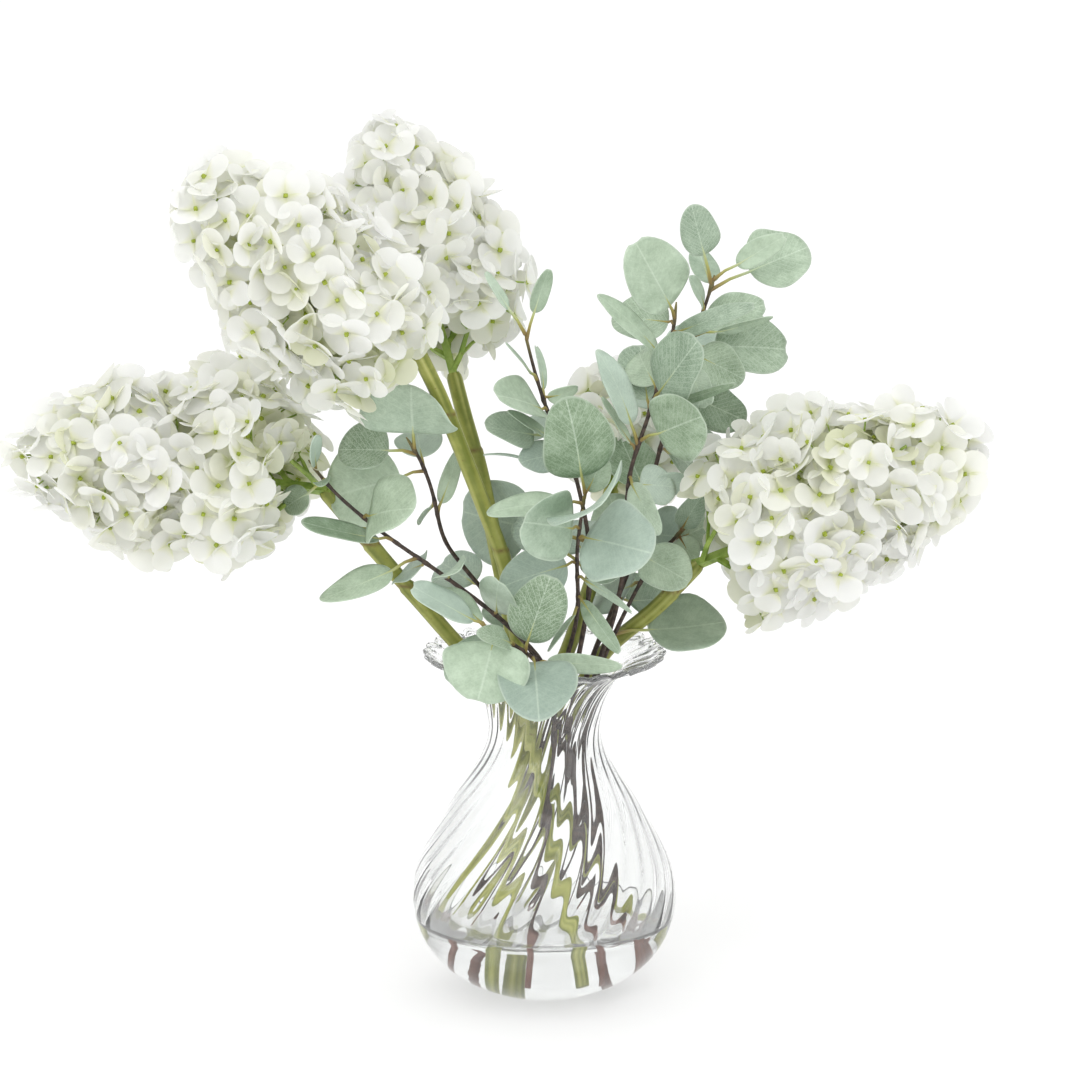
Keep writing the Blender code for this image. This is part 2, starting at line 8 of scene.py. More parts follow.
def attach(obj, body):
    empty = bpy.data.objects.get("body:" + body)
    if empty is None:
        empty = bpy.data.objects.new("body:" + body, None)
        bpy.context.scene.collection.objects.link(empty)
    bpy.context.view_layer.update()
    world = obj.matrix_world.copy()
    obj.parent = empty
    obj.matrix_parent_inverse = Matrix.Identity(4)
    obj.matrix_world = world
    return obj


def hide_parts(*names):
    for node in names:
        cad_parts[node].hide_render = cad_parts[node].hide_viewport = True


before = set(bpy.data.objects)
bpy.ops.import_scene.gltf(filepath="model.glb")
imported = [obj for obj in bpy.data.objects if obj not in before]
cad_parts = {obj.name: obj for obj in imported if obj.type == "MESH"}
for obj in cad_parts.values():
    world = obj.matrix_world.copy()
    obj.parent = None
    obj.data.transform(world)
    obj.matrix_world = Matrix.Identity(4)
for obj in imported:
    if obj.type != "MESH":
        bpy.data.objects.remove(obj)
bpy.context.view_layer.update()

MM = 0.001


# ------------------------------------------------------------------ camera, floor and light
# A long lens a little above the flowers, a pale sweep of floor, and the soft even light of
# a white studio: a bright sky, a large lamp at the upper left and a weak one at the right.

def wire(tree, kind, settings=(), **sockets):
    """A new shader node. A socket takes a value, or the output socket that feeds it."""
    made = tree.nodes.new(kind)
    for name, value in dict(settings).items():
        setattr(made, name, value)
    for name, value in sockets.items():
        place = int(name[1:]) if name[0] == "_" else name.replace("_", " ")
        if isinstance(value, bpy.types.NodeSocket):
            tree.links.new(value, made.inputs[place])
        else:
            made.inputs[place].default_value = value
    return made


def new_paint(name):
    """A new material, its node tree and its surface shader."""
    paint = bpy.data.materials.new(name)
    paint.use_nodes = True
    return paint, paint.node_tree, paint.node_tree.nodes["Principled BSDF"]


EYE = Vector((-0.0026, -3.0, 0.950))
AIM = Vector((-0.0026, 0.0, 0.270))
look = (AIM - EYE).to_track_quat('-Z', 'Y').to_euler()
bpy.ops.object.camera_add(location=EYE, rotation=look)
camera = bpy.context.object
camera.data.lens = 176.8
camera.data.sensor_width = 36.0
bpy.context.scene.camera = camera

bpy.ops.object.select_all(action='DESELECT')
bpy.ops.mesh.primitive_plane_add(size=24.0, location=(0, 4.0, -0.0004))
floor = bpy.context.object
floor.name = "studio_floor"
floor_paint, _, shader = new_paint("pale_floor")
shader.inputs["Base Color"].default_value = (0.93, 0.93, 0.93, 1)
shader.inputs["Roughness"].default_value = 0.9
shader.inputs["Specular IOR Level"].default_value = 0.1
floor.data.materials.append(floor_paint)

studio = bpy.data.worlds.new("white_studio")
bpy.context.scene.world = studio
studio.use_nodes = True
sky = studio.node_tree
sky.nodes.clear()
ray = wire(sky, 'ShaderNodeTexCoord')
parts = wire(sky, 'ShaderNodeSeparateXYZ', Vector=ray.outputs["Generated"])
side = wire(sky, 'ShaderNodeMath', {"operation": 'ABSOLUTE'}, _0=parts.outputs["X"])
walls = wire(sky, 'ShaderNodeMapRange', {"interpolation_type": 'SMOOTHSTEP'},
             Value=side.outputs[0], _1=0.55, _2=0.95, _3=1.0, _4=0.68)
ceiling = wire(sky, 'ShaderNodeMapRange', {"interpolation_type": 'SMOOTHSTEP'},
               Value=parts.outputs["Z"], _1=0.0, _2=0.5, _3=0.85, _4=1.2)
bright = wire(sky, 'ShaderNodeMath', {"operation": 'MULTIPLY'},
              _0=walls.outputs[0], _1=ceiling.outputs[0])
glow = wire(sky, 'ShaderNodeBackground', Color=(1.0, 1.0, 1.0, 1.0), Strength=bright.outputs[0])
wire(sky, 'ShaderNodeOutputWorld', Surface=glow.outputs[0])

LAMPS = [("key", (-1.9, -2.4, 2.9), 2.6, 38.0), ("fill", (2.6, -2.0, 1.6), 2.2, 12.0)]
for name, place, size, power in LAMPS:
    turn = (AIM - Vector(place)).to_track_quat('-Z', 'Y').to_euler()
    bpy.ops.object.light_add(type='AREA', location=place, rotation=turn)
    lamp = bpy.context.object
    lamp.name = f"{name}_light"
    lamp.data.size = size
    lamp.data.energy = power
bpy.context.scene.view_settings.view_transform = 'Standard'


# ------------------------------------------------------------------ vase
# Clear glass blown in a ribbed mould and twisted while hot: a round bowl on a small flat
# foot, a long waist and a wide lip whose ribs end in lobes. The wall is thicker at each rib.

BELLY_RADIUS = 77.3
BELLY_HEIGHT = 60.0
BOWL_DEPTH = 64.0
BOWL_POWER = 2.35
GLASS = 2.6
GLASS_BOTTOM = 5.0
LIP_GLASS = 1.6                  # the wall just below the bead of the rim
SHOULDER = [(73.7, 77), (66.3, 92), (60.6, 102), (52, 117), (42.6, 131), (35.6, 144), (32.8, 156),
            (34, 168), (38.5, 182), (46, 192), (57, 198), (65.4, 200.4)]
RIBS = 30
SEGMENTS = 12 * RIBS
RIB_OUTSIDE = 0.16               # how far a rib stands out of the wall
RIB_INSIDE = -0.34               # and how far it stands into the bowl
RIBS_FROM, RIBS_FULL = 42.0, 68.0
RIBS_FADE, RIBS_FADED = 90.0, 130.0
FADING = 0.45                    # the share of a rib that is gone above the bowl
LOBES_ABOVE = 188.0
LOBES_FROM, LOBES_FULL = 46.0, 67.0
LOBE_REACH, LOBE_RISE = 2.3, 1.3
RIM_FROM = 196.0
SWIRL = math.radians(95)
SWIRL_HEIGHT = 201.0


def bowl_curve(radius, depth, lowest, rows):
    """The bowl's side in mm from its lowest height up to the belly, as (radius, height)."""
    start = math.acos(min(1.0, ((BELLY_HEIGHT - lowest) / depth) ** (BOWL_POWER / 2)))
    curve = []
    for row in range(rows + 1):
        angle = start + (math.pi / 2 - start) * row / rows
        drop = depth * math.cos(angle) ** (2 / BOWL_POWER)
        curve.append((radius * math.sin(angle), BELLY_HEIGHT - drop))
    return curve


def turned(name, outline, steps, resolution):
    """A closed shape turned about the Z axis from its outline, in mm."""
    bpy.ops.object.select_all(action='DESELECT')
    bpy.ops.curve.primitive_bezier_curve_add(location=(0, 0, 0))
    profile = bpy.context.object
    profile.name = profile.data.name = name
    line = profile.data.splines[0]
    line.resolution_u = profile.data.resolution_u = resolution
    line.bezier_points.add(len(outline) - 2)
    for point, (radius, height) in zip(line.bezier_points, outline):
        point.handle_left_type = point.handle_right_type = 'AUTO'
        point.co = (radius * MM, 0.0, height * MM)
    bpy.ops.object.convert(target='MESH')
    profile = bpy.context.object
    bpy.ops.object.mode_set(mode='EDIT')
    bpy.ops.mesh.select_all(action='SELECT')
    bpy.ops.mesh.spin(steps=steps, angle=math.tau, center=(0, 0, 0), axis=(0, 0, 1))
    bpy.ops.mesh.select_all(action='SELECT')
    bpy.ops.mesh.remove_doubles(threshold=0.01 * MM)
    bpy.ops.mesh.normals_make_consistent(inside=False)
    bpy.ops.object.mode_set(mode='OBJECT')
    bpy.ops.object.shade_smooth()
    return profile


def inward(profile, distance):
    """A profile moved sideways by a distance, to the left of its run."""
    moved = []
    for i, (r, z) in enumerate(profile):
        before = profile[max(i - 1, 0)]
        after = profile[min(i + 1, len(profile) - 1)]
        run = Vector((after[0] - before[0], after[1] - before[1])).normalized()
        moved.append((r - run.y * distance, z + run.x * distance))
    return moved


foot = [(0.0, 0.9), (14.0, 0.8), (25.0, 0.1)]
outer = foot + bowl_curve(BELLY_RADIUS, BOWL_DEPTH, 0.0, 9) + SHOULDER
inner = ([(0.0, GLASS_BOTTOM)]
         + bowl_curve(BELLY_RADIUS - GLASS, BELLY_HEIGHT - GLASS_BOTTOM, GLASS_BOTTOM, 9)[1:]
         + inward(SHOULDER[:-2], GLASS) + inward(SHOULDER[-2:], LIP_GLASS))
lip = [(67.3, 200.6), (68.7, 201.0), (69.3, 202.3), (68.7, 203.6), (67.3, 204.0), (66.1, 203.2)]
vase = turned("glass_vase", outer + lip + inner[::-1], SEGMENTS, 3)


def ramp(value, start, full):
    """0 up to the start, 1 from where it is full, and a straight slope between them."""
    return max(0.0, min(1.0, (value - start) / (full - start)))


def outer_radius(height):
    """The outer wall's radius at a height, in mm."""
    for (near, low), (far, high) in zip(outer[3:], outer[4:]):
        if height <= high:
            return near + (far - near) * max(0.0, height - low) / (high - low)
    return outer[-1][0]


for vertex in vase.data.vertices:
    x, y, z = vertex.co / MM
    radius = math.hypot(x, y)
    if radius < 1:
        continue
    angle = math.atan2(y, x)
    ridge = math.cos(RIBS * angle)
    near_lip = ramp(radius, LOBES_FROM, LOBES_FULL) if z > LOBES_ABOVE else 0.0
    lobe = 2 * math.sqrt(0.05 + math.cos(RIBS * angle / 2) ** 2) - 1.3
    depth = RIB_INSIDE if radius < outer_radius(z) - GLASS / 2 else RIB_OUTSIDE
    rising = ramp(z, RIBS_FROM, RIBS_FULL) * (1 - FADING * ramp(z, RIBS_FADE, RIBS_FADED))
    radius += depth * rising * ridge + LOBE_REACH * near_lip ** 2 * lobe
    angle += SWIRL * min(z, SWIRL_HEIGHT) / SWIRL_HEIGHT
    z += LOBE_RISE * near_lip * lobe
    vertex.co = Vector((radius * math.cos(angle), radius * math.sin(angle), z)) * MM


def see_through(name, tint, ior, clearness):
    """Glass or water: its tint, how strongly it bends light, and how much it lets through."""
    paint, _, shader = new_paint(name)
    shader.inputs["Base Color"].default_value = (*tint, 1)
    shader.inputs["Roughness"].default_value = 0.0
    shader.inputs["IOR"].default_value = ior
    shader.inputs["Transmission Weight"].default_value = clearness
    return paint


GLASS_TINT = (0.985, 0.992, 0.99)
vase.data.materials.append(see_through("clear_glass", GLASS_TINT, 1.5, 1.0))
# The rim's glass lets a tenth less through and shows that share as diffuse white: painted light that
# lightens the rim, which clear glass would render dark.
vase.data.materials.append(see_through("rim_glass_painted_light", GLASS_TINT, 1.5, 0.9))
for face in vase.data.polygons:
    face.material_index = 1 if face.center.z > RIM_FROM * MM else 0
vase.visible_shadow = False
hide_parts("vase")
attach(vase, "root")


# ------------------------------------------------------------------ water
# A little clear water in the bottom of the bowl, wetting the glass all round. The cut ends
# of all the stems stand in it.

WATER_LEVEL = 45.0
WETTING = 0.9                    # how far the water's mesh reaches into the ribbed wall

shore = [(r + WETTING, z - WETTING) for r, z in inner if z < WATER_LEVEL - 1.5]
brim = shore[-1][0] + 1.2
surface = [(brim + 0.9, WATER_LEVEL + 0.5), (brim - 2.0, WATER_LEVEL), (0.0, WATER_LEVEL)]
water = turned("still_water", [(0.0, shore[0][1])] + shore[1:] + surface, 144, 3)
water.data.materials.append(see_through("clear_water", (0.985, 0.99, 0.985), 1.333, 0.945))
water.visible_shadow = False
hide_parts("clear_water")
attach(water, "root")


# ------------------------------------------------------------------ hydrangea stems
# Five thick olive-green stems, each cut off in the water, with a ring where a leaf has
# fallen. Each ends in a panicle: a tapering rachis, side branches, and a pedicel for every
# floret.

# Routes, tips, rings (the heights of the leaf scars) and girths are in mm. A girth's row is a
# share of the head's length and its radius at the crown, front, underside and back. bare is
# the share of the head with no florets, on the same four sides, and green scales how far its
# florets are tinted cream-green towards the depth: their own greenness and painted shade.
HYDRANGEAS = {
    "upper_left": dict(
        route=[(20, -38, 19), (-8, -17, 156), (-17, -14, 226), (-23, -14, 261), (-43, -22, 316),
               (-60, -40, 364), (-72, -50, 391)],
        tip=(-202, -74, 485), rings=(352, 268), bare=(0.04, 0.07, 0.12, 0.05), green=1.0,
        girth=[(0.0, 24, 34, 52, 30), (0.25, 43, 48, 58, 36), (0.5, 49, 50, 51, 40),
               (0.75, 46, 42, 38, 36), (0.93, 28, 26, 22, 24)]),
    "top": dict(
        route=[(-26, -20, 13), (-12, -7, 156), (-20, -4, 226), (-29, 0, 270), (-37, 5, 310),
               (-46, 16, 338), (-53, 24, 364)],
        tip=(-93, 64, 504), rings=(322, 236), bare=(0.09, 0.3, 0.2, 0.06), green=0.45,
        girth=[(0.1, 39, 24, 22, 32), (0.28, 61, 36, 40, 52), (0.5, 54, 40, 42, 54),
               (0.75, 40, 36, 38, 42), (0.93, 20, 22, 24, 24)]),
    "left": dict(
        route=[(56, 8, 27), (-19, 6, 156), (-25, 6, 172), (-34, 5, 188), (-55, 2, 212),
               (-92, -5, 258), (-127, -15, 303)],
        tip=(-302, -30, 330), rings=(270, 244), bare=(0.06, 0.19, 0.16, 0.08), green=0.9,
        girth=[(0.06, 34, 30, 22, 30), (0.27, 76, 52, 56, 50), (0.4, 66, 52, 52, 48),
               (0.54, 48, 46, 48, 42), (0.7, 53, 42, 44, 40), (0.87, 32, 32, 34, 32),
               (0.95, 16, 20, 26, 20)]),
    "right": dict(
        route=[(-56, 14, 27), (10, 17, 156), (18, 17, 172), (27, 17, 188), (39, 17, 204),
               (65, 12, 226), (90, 5, 255)],
        tip=(248, -12, 325), rings=(238,), bare=(0.1, 0.17, 0.12, 0.08), green=1.0,
        girth=[(0.04, 40, 34, 40, 34), (0.12, 57, 42, 50, 40), (0.3, 65, 52, 54, 50),
               (0.5, 65, 52, 43, 50), (0.75, 50, 44, 38, 42), (0.93, 35, 28, 27, 28)]),
    "rear": dict(
        route=[(-10, 42, 17), (0, 25, 156), (4, 27, 176), (14, 33, 196), (30, 48, 240),
               (40, 76, 285)],
        tip=(62, 128, 342), rings=(252,), bare=(0.12, 0.12, 0.12, 0.12), green=1.0,
        girth=[(0.1, 28, 28, 28, 28), (0.38, 40, 40, 40, 42), (0.7, 36, 36, 36, 38),
               (0.92, 20, 20, 20, 20)]),
}
GOLDEN_TURN = math.radians(137.5)
BRANCHES = 16                    # side branches on a rachis
FLORET_SPACING = 18.5
ROUNDING = 60.0                  # more of it rounds a route's corners more
UPPER, LOWER = 4.6, 3.6          # a stem's radius above the neck and in the vase
SWELL_FROM, SWELL_FULL = 160.0, 182.0


def smoothed(route, step):
    """Places every few mm along a route, with its corners rounded."""
    places = [Vector(route[0])]
    for low, high in zip(route, route[1:]):
        count = max(1, round((Vector(high) - Vector(low)).length / step))
        places += [Vector(low).lerp(Vector(high), (i + 1) / count) for i in range(count)]
    for _ in range(round(ROUNDING / step)):
        rounded = [(a + 2 * b + c) / 4 for a, b, c in zip(places, places[1:], places[2:])]
        places = [places[0]] + rounded + [places[-1]]
    return places


def strands(name, lines, roundness):
    """One mesh of round strands. Each line is a list of places and their radii, in mm."""
    bpy.ops.object.select_all(action='DESELECT')
    bpy.ops.curve.primitive_bezier_curve_add(location=(0, 0, 0))
    piece = bpy.context.object
    piece.name = piece.data.name = name
    piece.data.splines.clear()
    piece.data.bevel_depth = MM
    piece.data.bevel_resolution = roundness
    piece.data.use_fill_caps = True
    for places, radii in lines:
        spline = piece.data.splines.new('POLY')
        spline.points.add(len(places) - 1)
        for point, place, radius in zip(spline.points, places, radii):
            point.co = (*(place * MM), 1.0)
            point.radius = radius
    bpy.ops.object.convert(target='MESH')
    piece = bpy.context.object
    bpy.ops.object.mode_set(mode='EDIT')
    bpy.ops.mesh.select_all(action='SELECT')
    bpy.ops.mesh.remove_doubles(threshold=0.005 * MM)
    bpy.ops.mesh.normals_make_consistent(inside=False)
    bpy.ops.object.mode_set(mode='OBJECT')
    bpy.ops.object.shade_smooth_by_angle(angle=math.radians(50))
    return piece


def only(*pieces):
    """Selects these pieces and nothing else, and makes the first one active."""
    bpy.ops.object.select_all(action='DESELECT')
    for piece in pieces:
        piece.select_set(True)
    bpy.context.view_layer.objects.active = pieces[0]


def mark(piece, name, values):
    """A number at every vertex, for the material to read."""
    layer = piece.data.attributes.new(name, 'FLOAT', 'POINT')
    layer.data.foreach_set("value", values)


def head_frame(head):
    """A head's base and axes: along it, towards its front, and towards its crown, in mm."""
    base, tip = Vector(head["route"][-1]), Vector(head["tip"])
    along = (tip - base).normalized()
    front = (Vector((0, -1, 0)) - along * along.dot(Vector((0, -1, 0)))).normalized()
    crown = along.cross(front)
    if crown.z < 0 or (abs(crown.z) < 0.5 and crown.x < 0):
        crown.negate()
    return base, along, front, crown, (tip - base).length


def girth_at(rows, share, angle):
    """A head's radius at a share of its length; angle 0 is the crown, then the front."""
    last = rows[-1]
    if share >= last[0]:
        fall = math.sqrt(max(0.0, 1 - ((share - last[0]) / (1 - last[0])) ** 2))
        reach = [value * fall for value in last[1:]]
    else:
        reach = rows[0][1:]
        for low, high in zip(rows, rows[1:]):
            if low[0] <= share:
                part = (share - low[0]) / (high[0] - low[0])
                reach = [a + (b - a) * part for a, b in zip(low[1:], high[1:])]
    turn = (angle / (math.pi / 2)) % 4
    quarter = int(turn)
    blend = (1 - math.cos(math.pi * (turn - quarter))) / 2
    return reach[quarter] * (1 - blend) + reach[(quarter + 1) % 4] * blend


def on_head(head, share, angle, sink=0.0):
    """A place on the head's surface, or that far under it, in mm."""
    base, along, front, crown, length = head_frame(head)
    lump = 1 + 0.05 * math.sin(3 * angle + 9 * share) + 0.05 * math.sin(14 * share - 2 * angle)
    reach = max(0.0, girth_at(head["girth"], share, angle) * lump - sink)
    outward = crown * math.cos(angle) + front * math.sin(angle)
    return base + along * share * length + outward * reach


def floret_places(head, spacing, sink, furthest, chance):
    """Evenly spread places for florets: share, angle, centre, and the way each one faces."""
    base, along, front, crown, length = head_frame(head)
    shares = [0.005 + 0.01 * i for i in range(100)
              if min(head["bare"]) < 0.005 + 0.01 * i < furthest]
    strips = [sum(girth_at(head["girth"], share, math.pi * k / 6) for k in range(12)) / 12
              * math.tau * 0.01 * length for share in shares]
    count = round(sum(strips) / (0.866 * spacing ** 2))
    places = []
    reached, strip = strips[0], 0
    for number in range(count):
        while reached < (number + 0.5) / count * sum(strips):
            strip += 1
            reached += strips[strip]
        share = min(0.985, shares[strip] + chance.uniform(-0.5, 0.5) * 0.01)
        angle = number * GOLDEN_TURN + chance.uniform(-0.1, 0.1)
        if share < girth_at([(1.0, *head["bare"])], 0.0, angle):
            continue
        centre = on_head(head, share, angle, sink + 3 * share * share + chance.uniform(-3.5, 6.0))
        ahead = on_head(head, min(1.0, share + 0.02), angle) - on_head(head, share - 0.02, angle)
        aside = on_head(head, share, angle + 0.1) - on_head(head, share, angle - 0.1)
        facing = ahead.cross(aside).normalized()
        if facing.dot(centre - base - along * length * min(share, 0.6)) < 0:
            facing.negate()
        places.append((share, angle % math.tau, centre, facing))
    return places


def graded(tree, value, stops):
    """Colours that follow a value. Each stop is a position and a colour, in rising order."""
    made = wire(tree, 'ShaderNodeValToRGB', Fac=value)
    steps = made.color_ramp.elements
    for step, (position, color) in zip(steps, (stops[0], stops[-1])):
        step.position = position
        step.color = (*color, 1)
    for position, color in stops[1:-1]:
        steps.new(position).color = (*color, 1)
    return made


def marked(tree, name):
    """The socket that gives a number marked on the mesh."""
    return wire(tree, 'ShaderNodeAttribute', {"attribute_name": name}).outputs["Fac"]


def olive_paint():
    """Olive stems streaked with yellow, brown at the rings, fresh green in the panicle."""
    paint, tree, shader = new_paint("olive_stem")
    where = wire(tree, 'ShaderNodeTexCoord')
    streak = marked(tree, "streak")
    scar = marked(tree, "scar")
    fresh = marked(tree, "fresh")
    mottle = wire(tree, 'ShaderNodeTexNoise', Vector=where.outputs["Object"], Scale=160.0, Detail=5.0)
    specks = wire(tree, 'ShaderNodeTexNoise', Vector=where.outputs["Object"], Scale=620.0, Detail=2.0)
    tone = wire(tree, 'ShaderNodeMath', {"operation": 'MULTIPLY_ADD'},
                _0=mottle.outputs["Fac"], _1=0.45, _2=streak)
    skin = graded(tree, tone.outputs[0], [(0.3, (0.180, 0.210, 0.030)),
                                          (0.6, (0.345, 0.360, 0.080)),
                                          (0.95, (0.50, 0.50, 0.175))])
    leafy = graded(tree, mottle.outputs["Fac"], [(0.35, (0.17, 0.27, 0.035)),
                                                 (0.7, (0.38, 0.50, 0.11))])
    green = wire(tree, 'ShaderNodeMix', {"data_type": 'RGBA'}, _0=fresh,
                 _6=skin.outputs[0], _7=leafy.outputs[0])
    freckle = wire(tree, 'ShaderNodeMapRange', Value=specks.outputs["Fac"],
                   _1=0.66, _2=0.74, _3=0.0, _4=0.5)
    worn = wire(tree, 'ShaderNodeMath', {"operation": 'MAXIMUM'},
                _0=freckle.outputs[0], _1=scar)
    brown = wire(tree, 'ShaderNodeMix', {"data_type": 'RGBA'}, _0=worn.outputs[0],
                 _6=green.outputs[2], _7=(0.16, 0.085, 0.025, 1))
    tree.links.new(brown.outputs[2], shader.inputs["Base Color"])
    grain = wire(tree, 'ShaderNodeBump', Strength=0.35, Distance=0.3 * MM, Height=tone.outputs[0])
    tree.links.new(grain.outputs[0], shader.inputs["Normal"])
    shader.inputs["Roughness"].default_value = 0.45
    return paint


stem_paint = olive_paint()
chance = random.Random(11)
outer_florets = {}
inner_florets = {}
for key, head in HYDRANGEAS.items():
    outer_florets[key] = floret_places(head, FLORET_SPACING, 4.0, 1.0, chance)
    inner_florets[key] = floret_places(head, FLORET_SPACING, 14.0, 0.88, chance)
    base, along, front, crown, length = head_frame(head)
    places = smoothed(head["route"], 2.0)
    radii = []
    for place in places:
        swell = ramp(place.z, SWELL_FROM, SWELL_FULL)
        radius = LOWER + (UPPER - LOWER) * swell * swell * (3 - 2 * swell)
        for ring in head["rings"]:
            below = ring - place.z
            radius += 0.55 * math.exp(-below / 5) if 0 <= below else -0.25 * math.exp(below / 3)
        radii.append(radius)
    radii[-1] *= 0.72
    radii[-2] *= 0.94
    stalk = strands(f"hydrangea_stem_{key}", [(places, radii)], 6)
    spine = kdtree.KDTree(len(places))
    for number, place in enumerate(places):
        spine.insert(place * MM, number)
    spine.balance()
    streaks, scars = [], []
    for vertex in stalk.data.vertices:
        middle, number, _ = spine.find(vertex.co)
        side = (vertex.co - middle).normalized()
        grain = Vector((2.4 * side.x, 2.4 * side.y, number * 0.035))
        streaks.append(0.3 + 0.62 * noise.noise(grain))
        nearest = min(abs(vertex.co.z / MM - ring) for ring in head["rings"])
        scars.append(0.9 * math.exp(-(nearest / 0.8) ** 2))
    mark(stalk, "streak", streaks)
    mark(stalk, "scar", scars)
    mark(stalk, "fresh", [0.0] * len(streaks))

    rachis = [base + along * length * share for share in (-0.02, 0.0, 0.2, 0.4, 0.6, 0.8)]
    lines = [(rachis, [3.8, 3.4, 2.8, 2.2, 1.6, 0.9])]
    hooks = kdtree.KDTree(BRANCHES * 9)
    for number in range(BRANCHES):
        share = 0.01 + 0.8 * number / BRANCHES
        angle = number * GOLDEN_TURN + 0.6
        root = base + along * length * share
        spread = girth_at(head["girth"], share + 0.13, angle) * 0.5
        outward = crown * math.cos(angle) + front * math.sin(angle)
        end = base + along * length * (share + 0.13) + outward * spread
        knee = root.lerp(end, 0.45) - along * 2
        lines.append(([root, knee, end], [2.3, 1.8, 1.4]))
        twiglets = [(knee, -0.5, 0.10, 0.6), (end, 0.4, 0.15, 0.78), (end, -0.3, 0.19, 0.74)]
        for source, turn, ahead, reach in twiglets:
            outward = crown * math.cos(angle + turn) + front * math.sin(angle + turn)
            spread = girth_at(head["girth"], min(1.0, share + ahead), angle + turn) * reach
            fork = base + along * length * min(0.96, share + ahead) + outward * spread
            middle = source.lerp(fork, 0.5) + along
            lines.append(([source, middle, fork], [1.3, 1.1, 0.7]))
            for place in (middle, middle.lerp(fork, 0.5), fork):
                hooks.insert(place, number)
    hooks.balance()
    for share, angle, centre, facing in outer_florets[key] + inner_florets[key]:
        below = centre - facing * 7
        hook = hooks.find(below)[0]
        lines.append(([centre - facing * 0.5, below, below.lerp(hook, 0.55) - facing * 2, hook],
                      [0.55, 0.6, 0.7, 0.9]))
    panicle = strands("panicle", lines, 0)
    count = len(panicle.data.vertices)
    mark(panicle, "streak", [0.5] * count)
    mark(panicle, "scar", [0.0] * count)
    mark(panicle, "fresh", [1.0] * count)
    only(stalk, panicle)
    bpy.ops.object.join()
    stalk.data.materials.append(stem_paint)
    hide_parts(f"hydrangea_stem_{key}")
    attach(stalk, "root")


# ------------------------------------------------------------------ florets
# The panicles carry hundreds of florets, each with four broad white sepals that overlap
# round a small square green bud. They are thin and soft, and tinted creamy green deep in the
# head: partly their own colour and partly painted shade in the depth.

SIDES = ("crown", "front", "under", "back")
TIP_FROM = 0.71                  # share of a head where its tip spray begins


def petal_paint():
    """White sepals, greener towards the bud, and cream-green deep inside the head: partly their own
    colour, partly painted shade.
    """
    paint, tree, shader = new_paint("white_sepal")
    spread = wire(tree, 'ShaderNodeUVMap', {"uv_map": "UVMap"})
    place = wire(tree, 'ShaderNodeSeparateXYZ', Vector=spread.outputs[0])
    depth_green_and_shade = marked(tree, "depth_green_and_shade")
    where = wire(tree, 'ShaderNodeTexCoord')
    cloud = wire(tree, 'ShaderNodeTexNoise', Vector=where.outputs["Object"], Scale=55.0, Detail=3.0)
    heart = wire(tree, 'ShaderNodeMapRange', {"interpolation_type": 'SMOOTHSTEP'},
                 Value=place.outputs["Y"], _1=0.0, _2=0.42, _3=0.55, _4=0.0)
    greening = wire(tree, 'ShaderNodeMath', {"operation": 'MULTIPLY_ADD'},
                    _0=cloud.outputs["Fac"], _1=0.22, _2=heart.outputs[0])
    # the depth value tints florets cream-green towards the head's inside: their own greener colour and
    # painted shade in the depth
    tone = wire(tree, 'ShaderNodeMath', {"operation": 'ADD'},
                _0=greening.outputs[0], _1=depth_green_and_shade)
    tint = graded(tree, tone.outputs[0], [(0.1, (0.945, 0.948, 0.937)),
                                          (0.5, (0.895, 0.900, 0.760)),
                                          (1.0, (0.66, 0.71, 0.38))])
    tree.links.new(tint.outputs[0], shader.inputs["Base Color"])
    veins = wire(tree, 'ShaderNodeTexWave', {"wave_type": 'BANDS', "bands_direction": 'X'},
                 Vector=spread.outputs[0], Scale=5.0, Distortion=2.5, Detail=2.0, Detail_Scale=1.0)
    crease = wire(tree, 'ShaderNodeBump', Strength=0.10, Distance=0.2 * MM, Height=veins.outputs["Fac"])
    tree.links.new(crease.outputs[0], shader.inputs["Normal"])
    shader.inputs["Roughness"].default_value = 0.6
    shader.inputs["Specular IOR Level"].default_value = 0.3
    through = wire(tree, 'ShaderNodeBsdfTranslucent', Color=tint.outputs[0])
    both = wire(tree, 'ShaderNodeMixShader', _0=0.5, _1=shader.outputs[0], _2=through.outputs[0])
    tree.links.new(both.outputs[0], tree.nodes["Material Output"].inputs["Surface"])
    return paint


def bud_paint():
    """The small green buds in the middle of the florets."""
    paint, tree, shader = new_paint("green_bud")
    where = wire(tree, 'ShaderNodeTexCoord')
    speck = wire(tree, 'ShaderNodeTexNoise', Vector=where.outputs["Object"], Scale=400.0)
    tint = graded(tree, speck.outputs["Fac"], [(0.0, (0.17, 0.25, 0.015)),
                                               (1.0, (0.46, 0.53, 0.06))])
    tree.links.new(tint.outputs[0], shader.inputs["Base Color"])
    shader.inputs["Roughness"].default_value = 0.6
    return paint


sepal_paint = petal_paint()
bud_green = bud_paint()
PETAL_ROOT, PETAL_REACH = 0.7, 17.0
PETAL_HALF = 9.3                 # half of a sepal's width
SEPALS = 4
bpy.ops.object.select_all(action='DESELECT')
bpy.ops.mesh.primitive_grid_add(x_subdivisions=4, y_subdivisions=4, size=2.0, location=(0, 0, 0))
sepal = bpy.context.object
for vertex in sepal.data.vertices:
    s, t, _ = vertex.co
    x, y = s * math.sqrt(1 - t * t / 2), t * math.sqrt(1 - s * s / 2)
    spread = 0.52 + 0.48 * math.sin(min(1.0, (y + 1) / 1.25) * math.pi / 2)
    rise = 1.3 * x * x + 0.5 * (y + 1) ** 1.5 - 0.55 * max(0.0, y) ** 2
    out = PETAL_ROOT + (PETAL_REACH - PETAL_ROOT) * (y + 1) / 2
    vertex.co = Vector((PETAL_HALF * x * spread, out, rise)) * MM
SEPAL_VERTICES = len(sepal.data.vertices)
sepals = []
